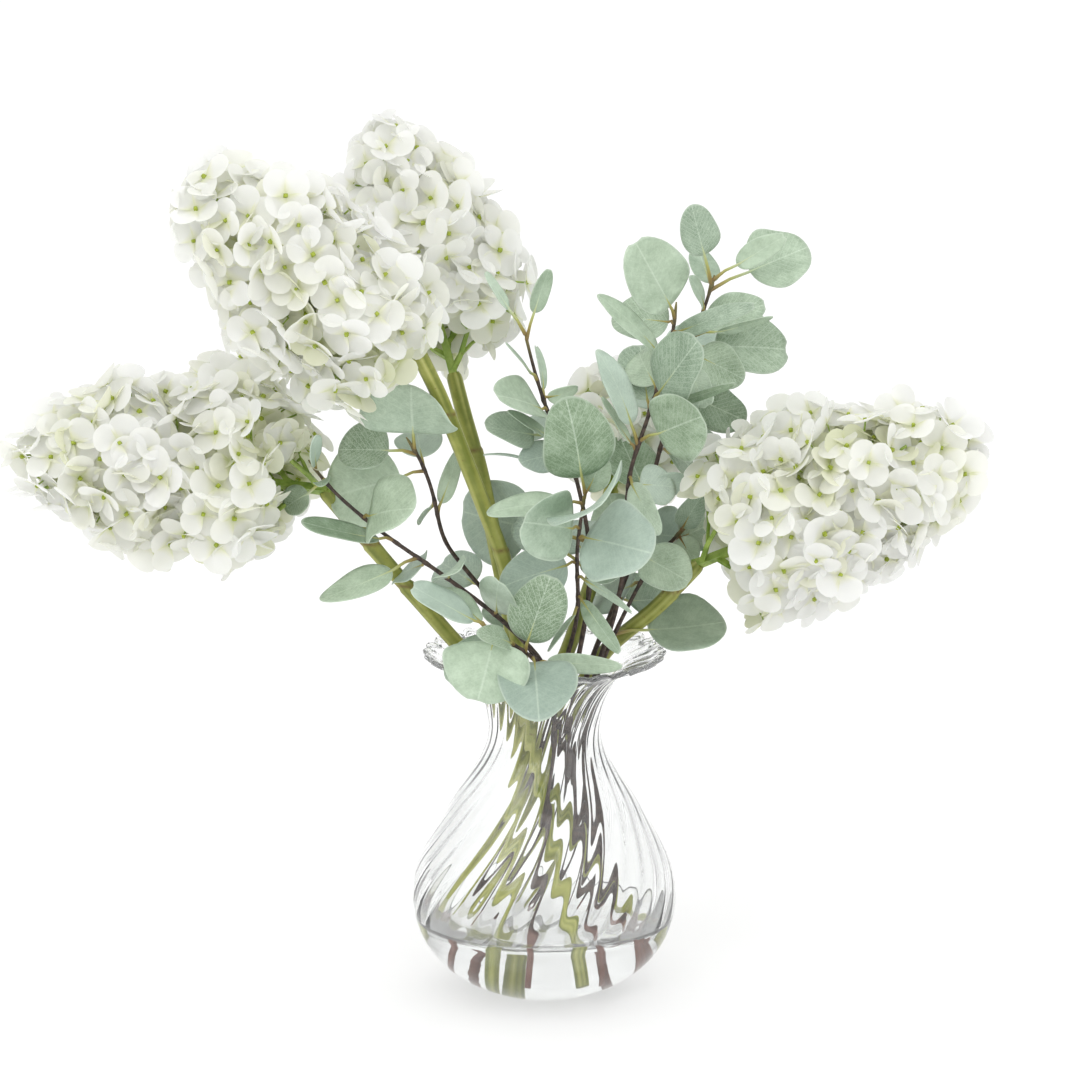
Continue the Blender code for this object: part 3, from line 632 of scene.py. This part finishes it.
for quarter in range(SEPALS):
    copied = sepal.copy()
    copied.data = sepal.data.copy()
    bpy.context.scene.collection.objects.link(copied)
    lift = Matrix.Translation((0, 0, (0.5 if quarter % 2 else 0.0) * MM))
    twist = Matrix.Rotation(math.radians(7), 4, 'Y')
    copied.data.transform(Matrix.Rotation(quarter * math.pi / 2, 4, 'Z') @ lift @ twist)
    copied.data.materials.append(sepal_paint)
    sepals.append(copied)
bpy.data.objects.remove(sepal, do_unlink=True)
bpy.ops.object.select_all(action='DESELECT')
bpy.ops.mesh.primitive_cone_add(vertices=4, radius1=1.8 * MM, radius2=1.15 * MM, depth=2.0 * MM,
                                location=(0, 0, 1.3 * MM), end_fill_type='NGON')
bud = bpy.context.object
bud.data.materials.append(bud_green)
only(*sepals, bud)
bpy.ops.object.join()
bpy.ops.object.transform_apply(location=True, rotation=True, scale=True)
bpy.ops.object.shade_smooth_by_angle(angle=math.radians(60))
floret = bpy.context.object


def opened(centre, facing, depth_green_and_shade, chance):
    """A copy of the floret at a place in mm, turned, tilted and opened a little differently."""
    copied = floret.copy()
    copied.data = floret.data.copy()
    bpy.context.scene.collection.objects.link(copied)
    cup = chance.uniform(-0.012, 0.020) / MM
    sway = chance.uniform(0, math.tau)
    uneven = chance.uniform(0.0, 0.10)
    lifts = [chance.gauss(0.0, 0.11) for _ in range(SEPALS)] + [0.0]
    growth = [chance.uniform(0.9, 1.07) for _ in range(SEPALS)] + [1.0]
    for number, vertex in enumerate(copied.data.vertices):
        part = min(number // SEPAL_VERTICES, SEPALS)
        reach = math.hypot(vertex.co.x, vertex.co.y)
        angle = math.atan2(vertex.co.y, vertex.co.x)
        vertex.co.x *= growth[part]
        vertex.co.y *= growth[part]
        vertex.co.z += cup * reach * reach + uneven * reach * math.sin(2 * angle + sway)
        vertex.co.z += lifts[part] * reach
    turn = facing.to_track_quat('Z', 'Y').to_matrix().to_4x4()
    tilt = Matrix.Rotation(chance.gauss(0, math.radians(25)), 4, 'X')
    lean = Matrix.Rotation(chance.gauss(0, math.radians(25)), 4, 'Y')
    spin = Matrix.Rotation(chance.uniform(0, math.tau), 4, 'Z')
    size = Matrix.Scale(chance.uniform(0.82, 1.03), 4)
    copied.data.transform(Matrix.Translation(centre * MM) @ turn @ tilt @ lean @ spin @ size)
    mark(copied, "depth_green_and_shade", [depth_green_and_shade] * len(copied.data.vertices))
    return copied


for key, head in HYDRANGEAS.items():
    sprays = {spray: [] for spray in (*SIDES, "tip")}
    # inner florets take a stronger cream-green tint: partly their own colour, partly painted shade in
    # the depth
    layers = [(outer_florets[key], -0.1, 0.14), (inner_florets[key], 0.26, 0.56)]
    for places, least, most in layers:
        for share, angle, centre, facing in places:
            spray = "tip" if share > TIP_FROM else SIDES[int(angle / (math.pi / 2) + 0.5) % 4]
            depth_green_and_shade = chance.uniform(least, most) * head["green"]
            sprays[spray].append(opened(centre, facing, depth_green_and_shade, chance))
    for spray, florets in sprays.items():
        only(*florets)
        bpy.ops.object.join()
        piece = bpy.context.object
        piece.name = piece.data.name = f"florets_{key}_{spray}_open"
        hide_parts(f"florets_{key}_{spray}")
        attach(piece, "root")
bpy.data.objects.remove(floret, do_unlink=True)


# ------------------------------------------------------------------ eucalyptus
# Eight cut branches of silver-dollar eucalyptus between the hydrangeas: dark brown twigs,
# yellowish leaf stalks that turn red-brown, and round grey-green leaves with pale veins.
# Each leaf: height on the twig, tip, width, roll in degrees, the stalk's share of its length.

FACING = Vector((0.0, -0.8, 0.6))
SHIFTS = [0, -5, 5, -10, 10, -16, 16, -22, 22, -30, 30]
TURNS = [0, 18, -18, 36, -36]
SIZES = [1.0, 0.85, 0.7]
BROAD_FROM = 18.0                # wider leaves than this fill out past their settled size
LONGER, WIDER = 1.06, 1.16       # and this is by how much
TWIG, TWIG_END = 1.7, 0.95       # a twig's radius in the water and at its end
YOUNG_FROM = 0.9625              # the share of a twig where its green end begins
STALK_RADII = [1.3, 1.05, 0.95, 0.85, 0.66, 0.5, 0.38, 0.28, 0.16]
MIDRIB = (-0.98, -0.75, -0.5, -0.2, 0.1, 0.4)   # where a stalk runs on along its leaf

EUCALYPTUS = {
    "tall_right": (
        [(47, -14, 20), (21, -9, 156), (26, -9, 178), (31, -8, 198), (41, -5, 226), (48, -1, 262),
         (48, 0, 308), (64, 5, 354), (75, 10, 392), (76, 12, 408)],
        [(400, (52, -10, 446), 34, 0, 0.13), (396, (41, 22, 398), 27, 0, 0.1),
         (374, (36, -14, 418), 15, 20, 0.14), (390, (113, -22, 415), 12, 45, 0.05),
         (352, (86, -10, 391), 32, 0, 0.12), (358, (53, 16, 376), 22, 0, 0.12),
         (326, (35, -8, 384), 18, 20, 0.22), (346, (110, -20, 366), 7, 60, 0.08),
         (328, (90, -22, 348), 36, 0, 0.28), (350, (89, 0, 350), 9, 40, 0.45),
         (308, (64, -12, 282), 15, 30, 0.15), (303, (75, 6, 301), 22, 0, 0.25),
         (295, (84, 0, 303), 14, 35, 0.35), (266, (82, -16, 250), 25, 10, 0.25),
         (322, (32, 8, 353), 9, 45, 0.15), (344, (56, 42, 374), 30, 0, 0.2)]),
    "tall_rear": (
        [(20, 38, 17), (18, 9, 156), (23, 9, 180), (29, 10, 202), (38, 13, 220), (51, 20, 252),
         (61, 26, 292), (71, 32, 332), (88, 40, 386), (94, 43, 400), (99, 45, 418)],
        [(413, (85, 40, 458), 21, 10, 0.36), (411, (90, 56, 429), 17, 10, 0.1),
         (415, (140, 38, 443), 15, 30, 0.33), (410, (151, 60, 431), 33, 0, 0.4),
         (398, (88, 30, 421), 15, 20, 0.12), (390, (125, 28, 403), 20, 15, 0.12),
         (382, (131, 20, 397), 6, 60, 0.3), (376, (140, 44, 376), 35, 0, 0.25),
         (374, (115, 24, 361), 22, 15, 0.12), (366, (94, 22, 350), 18, 15, 0.1),
         (352, (116, 46, 332), 24, 10, 0.2), (326, (105, 60, 319), 12, 10, 0.4),
         (338, (56, 66, 352), 30, 10, 0.2), (360, (92, 72, 380), 28, 0, 0.2),
         (318, (92, 70, 297), 30, 0, 0.2), (290, (45, 58, 317), 26, 0, 0.2),
         (270, (86, 62, 256), 30, 10, 0.2), (250, (39, 56, 282), 28, 0, 0.2),
         (230, (73, 58, 220), 30, 0, 0.2)]),
    "centre": (
        [(30, -32, 18), (13, -20, 156), (14, -21, 180), (20, -20, 206), (26, -17, 240),
         (26, -14, 275), (17, -12, 316), (2, -10, 346), (-6, -10, 372), (-11, -10, 393)],
        [(272, (-45, 6, 281), 44, 0, 0.45), (256, (-15, -4, 282), 22, 10, 0.45),
         (348, (-24, -22, 366), 30, 0, 0.1), (332, (-32, -28, 342), 22, 15, 0.35),
         (328, (-21, -34, 353), 12, 30, 0.3), (322, (-10, -36, 327), 20, 0, 0.2),
         (310, (-34, -22, 330), 6, 60, 0.45), (392, (-34, -18, 431), 9, 35, 0.42),
         (391, (2, -10, 432), 11, 30, 0.36), (366, (-22, -14, 392), 8, 50, 0.2),
         (354, (-2, -2, 384), 8, 55, 0.2), (356, (21, -6, 358), 10, 50, 0.12),
         (262, (9, 28, 276), 28, 0, 0.2), (244, (40, 26, 258), 22, 0, 0.2),
         (334, (-8, 22, 337), 24, 0, 0.2)]),
    "front": (
        [(-44, 0, 19), (-1, -1, 156), (5, -6, 178), (14, -14, 206), (20, -27, 234),
         (18, -33, 270), (23, -39, 306)],
        [(236, (3, -44, 213), 8, 55, 0.15), (264, (-24, -34, 252), 25, -15, 0.12),
         (300, (-32, -50, 302), 18, 15, 0.2), (284, (-12, -62, 295), 36, 0, 0.12),
         (305, (15, -58, 359), 36, 0, 0.2), (304, (35, -36, 325), 17, 20, 0.15),
         (294, (32, -84, 312), 48, 0, 0.1), (280, (58, -62, 278), 44, 0, 0.1),
         (256, (53, -58, 242), 6, 55, 0.12), (244, (42, -66, 219), 11, 30, 0.1)]),
    "left": (
        [(40, 26, 20), (12, -2, 156), (8, 2, 170), (0, 6, 190), (-14, 8, 212), (-25, 7, 226),
         (-40, 1, 245), (-59, -12, 272), (-64, -20, 303), (-71, -26, 324), (-79, -30, 337)],
        [(330, (-76, -48, 368), 50, 0, 0.25), (328, (-116, -20, 328), 30, 10, 0.35),
         (316, (-122, -8, 300), 44, 0, 0.25), (320, (-74, 5, 334), 24, 0, 0.2),
         (290, (-48, -5, 324), 11, 40, 0.15), (296, (-73, 0, 278), 11, 30, 0.15),
         (220, (-8, 40, 234), 30, 0, 0.2), (240, (-61, 30, 251), 26, 0, 0.2),
         (212, (-26, 42, 224), 26, 0, 0.2)]),
    "low_left": (
        [(46, 2, 19), (8, -12, 156), (5, -16, 176), (0, -25, 204), (-26, -29, 231),
         (-63, -31, 260), (-85, -31, 275), (-104, -31, 290), (-124, -31, 308),
         (-135, -31, 324)],
        [(290, (-78, -62, 304), 38, 0, 0.12), (276, (-140, -50, 291), 17, 25, 0.16),
         (266, (-125, -48, 246), 19, 20, 0.28), (263, (-85, -8, 252), 24, 20, 0.15),
         (254, (-54, -42, 274), 20, 25, 0.1), (232, (-28, -50, 258), 22, 15, 0.1),
         (310, (-151, -18, 294), 18, 10, 0.4), (312, (-127, -38, 318), 10, 20, 0.1),
         (318, (-131, -62, 346), 12, 20, 0.15)]),
    "collar": (
        [(-9, -46, 19), (6, -25.5, 156), (5, -29, 180), (2, -38, 200), (-6, -46, 212),
         (-20, -54, 222), (-36, -60, 234)],
        [(233, (-74, -62, 256), 20, 30, 0.14), (232, (-56, -45, 250), 15, 30, 0.15),
         (228, (-52, -58, 200), 24, 20, 0.12), (228, (-37, -84, 199), 44, 0, 0.14),
         (212, (-3, -84, 190), 47, 0, 0.1), (220, (-33, -62, 238), 14, 20, 0.15),
         (216, (3, -52, 260), 28, 15, 0.12), (208, (45, -62, 211), 12, 40, 0.1)]),
    "right": (
        [(-24, 40, 20), (23, 3, 156), (27, 2, 176), (33, 2, 196), (46, 6, 224), (60, 12, 250),
         (73, 20, 264), (82, 28, 271)],
        [(268, (162, 84, 333), 22, 10, 0.3), (269, (90, 14, 295), 15, 10, 0.12),
         (268, (88, 10, 250), 15, 15, 0.12), (262, (86, 40, 250), 16, 0, 0.1),
         (214, (102, 42, 212), 40, 0, 0.3), (242, (33, 48, 223), 28, 0, 0.2),
         (264, (104, 62, 268), 26, 0, 0.2)]),
}


def leaf_frame(base, tip, roll):
    """A leaf's axes: along it, across it, and out of its upper face."""
    along = (tip - base).normalized()
    normal = (FACING - along * along.dot(FACING)).normalized()
    normal = Matrix.Rotation(math.radians(roll), 3, along) @ normal
    return along, along.cross(normal), normal


def settled(route, leaf, corners):
    """The leaf's base, tip, width and roll as the CAD branch holds it, in mm."""
    height, tip, width, roll, stalk = leaf
    base = Vector(route[-1])
    for low, high in zip(route, route[1:]):
        if low[2] <= height <= high[2]:
            base = Vector(low).lerp(Vector(high), (height - low[2]) / (high[2] - low[2]))
            break
    for size in SIZES:
        for shift in SHIFTS:
            end = base.lerp(Vector(tip) + Vector((0, shift, 0)), size)
            if corners.find(end)[2] > 0.1:
                continue
            for turn in TURNS:
                _, across, normal = leaf_frame(base, end, roll + turn)
                widest = base.lerp(end, stalk + (1 - stalk) * 0.42)
                half = width * size / 2
                edges = [widest + across * half * side + normal * 0.12 * half for side in (-1, 1)]
                if min(corners.find(edge)[2] for edge in edges) < 0.3:
                    return base, end, width * size, roll + turn, stalk
    return base, Vector(tip), width, roll, stalk


def bark_paint():
    """Dark brown bark, green-yellow at the twig's young end and red-brown in the water."""
    paint, tree, shader = new_paint("brown_bark")
    where = wire(tree, 'ShaderNodeTexCoord')
    young = marked(tree, "young")
    grain = wire(tree, 'ShaderNodeTexNoise', Vector=where.outputs["Object"], Scale=420.0, Detail=4.0)
    bark = graded(tree, grain.outputs["Fac"], [(0.35, (0.022, 0.013, 0.010)),
                                               (0.8, (0.115, 0.075, 0.055))])
    mixed = wire(tree, 'ShaderNodeMix', {"data_type": 'RGBA'}, _0=young,
                 _6=bark.outputs[0], _7=(0.30, 0.27, 0.075, 1))
    height = wire(tree, 'ShaderNodeSeparateXYZ', Vector=where.outputs["Object"])
    soaked = wire(tree, 'ShaderNodeMapRange', Value=height.outputs["Z"],
                  _1=(WATER_LEVEL - 2) * MM, _2=(WATER_LEVEL + 2) * MM, _3=0.8, _4=0.0)
    wet = wire(tree, 'ShaderNodeMix', {"data_type": 'RGBA'}, _0=soaked.outputs[0],
               _6=mixed.outputs[2], _7=(0.21, 0.075, 0.045, 1))
    tree.links.new(wet.outputs[2], shader.inputs["Base Color"])
    rough = wire(tree, 'ShaderNodeBump', Strength=0.6, Distance=0.3 * MM, Height=grain.outputs["Fac"])
    tree.links.new(rough.outputs[0], shader.inputs["Normal"])
    shader.inputs["Roughness"].default_value = 0.55
    return paint


def stalk_paint():
    """Leaf stalks: red-brown at the twig, then ochre, then pale green along the midrib."""
    paint, tree, shader = new_paint("leaf_stalk")
    along = marked(tree, "along")
    tint = graded(tree, along, [(0.0, (0.15, 0.070, 0.035)), (0.12, (0.33, 0.27, 0.075)),
                                (0.28, (0.42, 0.44, 0.15)), (0.55, (0.52, 0.61, 0.42)),
                                (1.0, (0.58, 0.68, 0.53))])
    tree.links.new(tint.outputs[0], shader.inputs["Base Color"])
    shader.inputs["Roughness"].default_value = 0.5
    return paint


def leaf_paint(name, dark, light, vein):
    """A leaf's face: mottled grey-green, with pale veins that run out from the midrib."""
    paint, tree, shader = new_paint(name)
    spread = wire(tree, 'ShaderNodeUVMap', {"uv_map": "UVMap"})
    place = wire(tree, 'ShaderNodeSeparateXYZ', Vector=spread.outputs[0])
    tone = marked(tree, "tone")
    veined = marked(tree, "veined")
    where = wire(tree, 'ShaderNodeTexCoord')
    cloud = wire(tree, 'ShaderNodeTexNoise', Vector=where.outputs["Object"], Scale=90.0, Detail=7.0,
                 Roughness=0.78)
    level = wire(tree, 'ShaderNodeMath', {"operation": 'MULTIPLY_ADD'},
                 _0=cloud.outputs["Fac"], _1=1.25, _2=tone)
    flesh = graded(tree, level.outputs[0], [(0.2, dark), (1.0, light)])
    cool = marked(tree, "cool")
    bloom = wire(tree, 'ShaderNodeMix', {"data_type": 'RGBA'}, _0=cool,
                 _6=flesh.outputs[0], _7=(0.48, 0.58, 0.57, 1))
    off = wire(tree, 'ShaderNodeMath', {"operation": 'SUBTRACT'}, _0=place.outputs["X"], _1=0.5)
    side = wire(tree, 'ShaderNodeMath', {"operation": 'ABSOLUTE'}, _0=off.outputs[0])
    bent = wire(tree, 'ShaderNodeMath', {"operation": 'MULTIPLY_ADD'},
                _0=side.outputs[0], _1=-0.9, _2=place.outputs["Y"])
    ribs = wire(tree, 'ShaderNodeCombineXYZ', X=side.outputs[0], Y=bent.outputs[0])
    fan = wire(tree, 'ShaderNodeTexWave', {"wave_type": 'BANDS', "bands_direction": 'Y',
                                           "wave_profile": 'SAW'},
               Vector=ribs.outputs[0], Scale=3.3, Distortion=1.1, Detail=2.0, Detail_Scale=1.5)
    fan_line = wire(tree, 'ShaderNodeMapRange', {"interpolation_type": 'SMOOTHSTEP'},
                    Value=fan.outputs["Fac"], _1=0.86, _2=1.0, _3=0.0, _4=1.0)
    net = wire(tree, 'ShaderNodeTexVoronoi', {"feature": 'DISTANCE_TO_EDGE'},
               Vector=ribs.outputs[0], Scale=28.0, Randomness=1.0)
    net_line = wire(tree, 'ShaderNodeMapRange', {"interpolation_type": 'SMOOTHSTEP'},
                    Value=net.outputs["Distance"], _1=0.01, _2=0.12, _3=0.55, _4=0.0)
    midrib = wire(tree, 'ShaderNodeMapRange', {"interpolation_type": 'SMOOTHSTEP'},
                  Value=side.outputs[0], _1=0.004, _2=0.02, _3=1.0, _4=0.0)
    lines = wire(tree, 'ShaderNodeMath', {"operation": 'MAXIMUM'},
                 _0=fan_line.outputs[0], _1=net_line.outputs[0])
    seen = wire(tree, 'ShaderNodeMath', {"operation": 'MULTIPLY'},
                _0=lines.outputs[0], _1=veined)
    ribbed = wire(tree, 'ShaderNodeMath', {"operation": 'MULTIPLY_ADD', "use_clamp": True},
                  _0=midrib.outputs[0], _1=0.34, _2=seen.outputs[0])
    out = wire(tree, 'ShaderNodeMath', {"operation": 'SUBTRACT'}, _0=place.outputs["Y"], _1=0.5)
    end = wire(tree, 'ShaderNodeMath', {"operation": 'ABSOLUTE'}, _0=out.outputs[0])
    border = wire(tree, 'ShaderNodeMath', {"operation": 'MAXIMUM'},
                  _0=side.outputs[0], _1=end.outputs[0])
    rim = wire(tree, 'ShaderNodeMapRange', {"interpolation_type": 'SMOOTHSTEP'},
               Value=border.outputs[0], _1=0.465, _2=0.495, _3=0.0, _4=0.45)
    pale = wire(tree, 'ShaderNodeMath', {"operation": 'MAXIMUM'},
                _0=ribbed.outputs[0], _1=rim.outputs[0])
    skin = wire(tree, 'ShaderNodeMix', {"data_type": 'RGBA'}, _0=pale.outputs[0],
                _6=bloom.outputs[2], _7=(*vein, 1))
    tree.links.new(skin.outputs[2], shader.inputs["Base Color"])
    crease = wire(tree, 'ShaderNodeBump', Strength=0.3, Distance=0.25 * MM, Height=ribbed.outputs[0])
    tree.links.new(crease.outputs[0], shader.inputs["Normal"])
    shader.inputs["Roughness"].default_value = 0.58
    shader.inputs["Specular IOR Level"].default_value = 0.35
    return paint


bark = bark_paint()
stalk_tint = stalk_paint()
upper_face = leaf_paint("leaf_upper_face", (0.17, 0.25, 0.145), (0.55, 0.67, 0.51),
                        (0.66, 0.76, 0.63))
under_face = leaf_paint("leaf_under_face", (0.25, 0.335, 0.235), (0.60, 0.70, 0.59),
                        (0.64, 0.73, 0.61))

bpy.ops.object.select_all(action='DESELECT')
bpy.ops.mesh.primitive_grid_add(x_subdivisions=9, y_subdivisions=10, size=2.0, location=(0, 0, 0))
blade = bpy.context.object
blade.name = blade.data.name = "leaf_blade"
for vertex in blade.data.vertices:
    s, t, _ = vertex.co
    vertex.co = (s * math.sqrt(1 - t * t / 2), t * math.sqrt(1 - s * s / 2), 0.0)
blade.data.materials.append(upper_face)
blade.data.materials.append(under_face)


def on_blade(shape, x, y):
    """A place on a leaf's middle surface; x and y run from -1 to 1 across and along it."""
    s = (y + 1) / 2
    s -= 0.075 * math.sin(math.pi * s)
    across = shape["across"] * math.cos(shape["twist"] * (s - 0.4)) \
        + shape["normal"] * math.sin(shape["twist"] * (s - 0.4))
    normal = across.cross(shape["along"])
    half = shape["half"] * (1 + shape["wobble"] * math.sin(5 * s + shape["phase"] + 2 * x))
    notch = shape["notch"] * max(0.0, y) ** 6 * max(0.0, 1 - abs(x) * 4)
    ripple = shape["ripple"] * math.sin(7 * s + shape["phase"]) * x * abs(x)
    lift = shape["cup"] * x * x + ripple + shape["fold"] * abs(x)
    bow = shape["bow"] * (s - 0.15) ** 2 * shape["length"]
    return (shape["start"] + shape["along"] * shape["length"] * (s - notch)
            + across * x * half + normal * (lift * half + bow))


def leaf_shape(setting, chance):
    """How one leaf is cupped, folded, rippled, twisted and bent."""
    base, tip, width, roll, stalk = setting
    if width > BROAD_FROM:
        tip = base.lerp(tip, LONGER)
        width *= WIDER
    along, across, normal = leaf_frame(base, tip, roll)
    start = base.lerp(tip, stalk)
    return dict(start=start, along=along, across=across, normal=normal, half=width / 2,
                length=(tip - start).length, cup=chance.uniform(0.02, 0.27),
                fold=chance.uniform(0.0, 0.16), ripple=chance.uniform(-0.17, 0.17),
                twist=chance.uniform(-0.52, 0.52), bow=chance.uniform(-0.27, 0.14),
                phase=chance.uniform(0, math.tau), wobble=chance.uniform(0.02, 0.09),
                notch=chance.choice((0.0, 0.0, 0.03, 0.06)))


chance = random.Random(5)
for key, (route, leaves) in EUCALYPTUS.items():
    node = f"eucalyptus_{key}"
    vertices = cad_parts[node].data.vertices
    corners = kdtree.KDTree(len(vertices))
    for number, vertex in enumerate(vertices):
        corners.insert(vertex.co / MM, number)
    corners.balance()

    places = smoothed(route, 3.0)
    last = len(places) - 1
    lumps = [1 + 0.10 * noise.noise(Vector((number * 0.55, len(key), 0.0)))
             for number in range(last + 1)]
    radii = [(TWIG - (TWIG - TWIG_END) * (number / last) ** 2) * lump
             for number, lump in enumerate(lumps)]
    for height, *_ in leaves:
        nearest = min(range(last + 1), key=lambda number: abs(places[number].z - height))
        radii[nearest] *= 1.22
    radii[-2:] = [radii[-2] * 0.85, radii[-1] * 0.45]
    twig = strands(node, [(places, radii)], 3)
    spine = kdtree.KDTree(last + 1)
    for number, place in enumerate(places):
        spine.insert(place * MM, number)
    spine.balance()
    mark(twig, "young", [0.6 * ramp(spine.find(vertex.co)[1] / last, YOUNG_FROM, 1.0)
                         for vertex in twig.data.vertices])
    twig.data.materials.append(bark)

    blades, stalks, stalk_ends = [], [], []
    for leaf in leaves:
        setting = settled(route, leaf, corners)
        shape = leaf_shape(setting, chance)
        base, tip, width, roll, stalk = setting
        twig_side = spine.find(base * MM)[0] / MM
        copied = blade.copy()
        copied.data = blade.data.copy()
        bpy.context.scene.collection.objects.link(copied)
        for vertex in copied.data.vertices:
            vertex.co = on_blade(shape, vertex.co.x, vertex.co.y) * MM
        count = len(copied.data.vertices)
        mark(copied, "tone", [chance.uniform(-0.36, 0.18)] * count)
        mark(copied, "cool", [chance.choice((0.0, 0.05, 0.15, 0.45))] * count)
        mark(copied, "veined", [chance.choice((0.22, 0.36, 0.5, 0.7))] * count)
        blades.append(copied)
        sag = shape["start"].lerp(twig_side, 0.5) + Vector((0, 0, 1.2))
        midrib = [on_blade(shape, 0.0, y) for y in MIDRIB]
        line = [twig_side, twig_side.lerp(sag, 0.6), sag, *midrib]
        stalks.append((line, STALK_RADII))
        stalk_ends.append((twig_side, (shape["start"] - twig_side).length
                           + 0.7 * shape["length"]))
    stalk_mesh = strands("stalks", stalks, 1)
    values = []
    for vertex in stalk_mesh.data.vertices:
        values.append(min((vertex.co / MM - root).length / reach for root, reach in stalk_ends))
    mark(stalk_mesh, "along", values)
    stalk_mesh.data.materials.append(stalk_tint)
    only(*blades)
    bpy.ops.object.join()
    leafage = bpy.context.object
    bpy.ops.object.shade_smooth()
    depth = leafage.modifiers.new("depth", 'SOLIDIFY')
    depth.thickness = 0.45 * MM
    depth.offset = 0.0
    depth.material_offset = 1
    bpy.ops.object.modifier_apply(modifier="depth")
    only(twig, stalk_mesh, leafage)
    bpy.ops.object.join()
    twig.name = twig.data.name = f"eucalyptus_branch_{key}"
    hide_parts(node)
    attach(twig, "root")
bpy.data.objects.remove(blade, do_unlink=True)
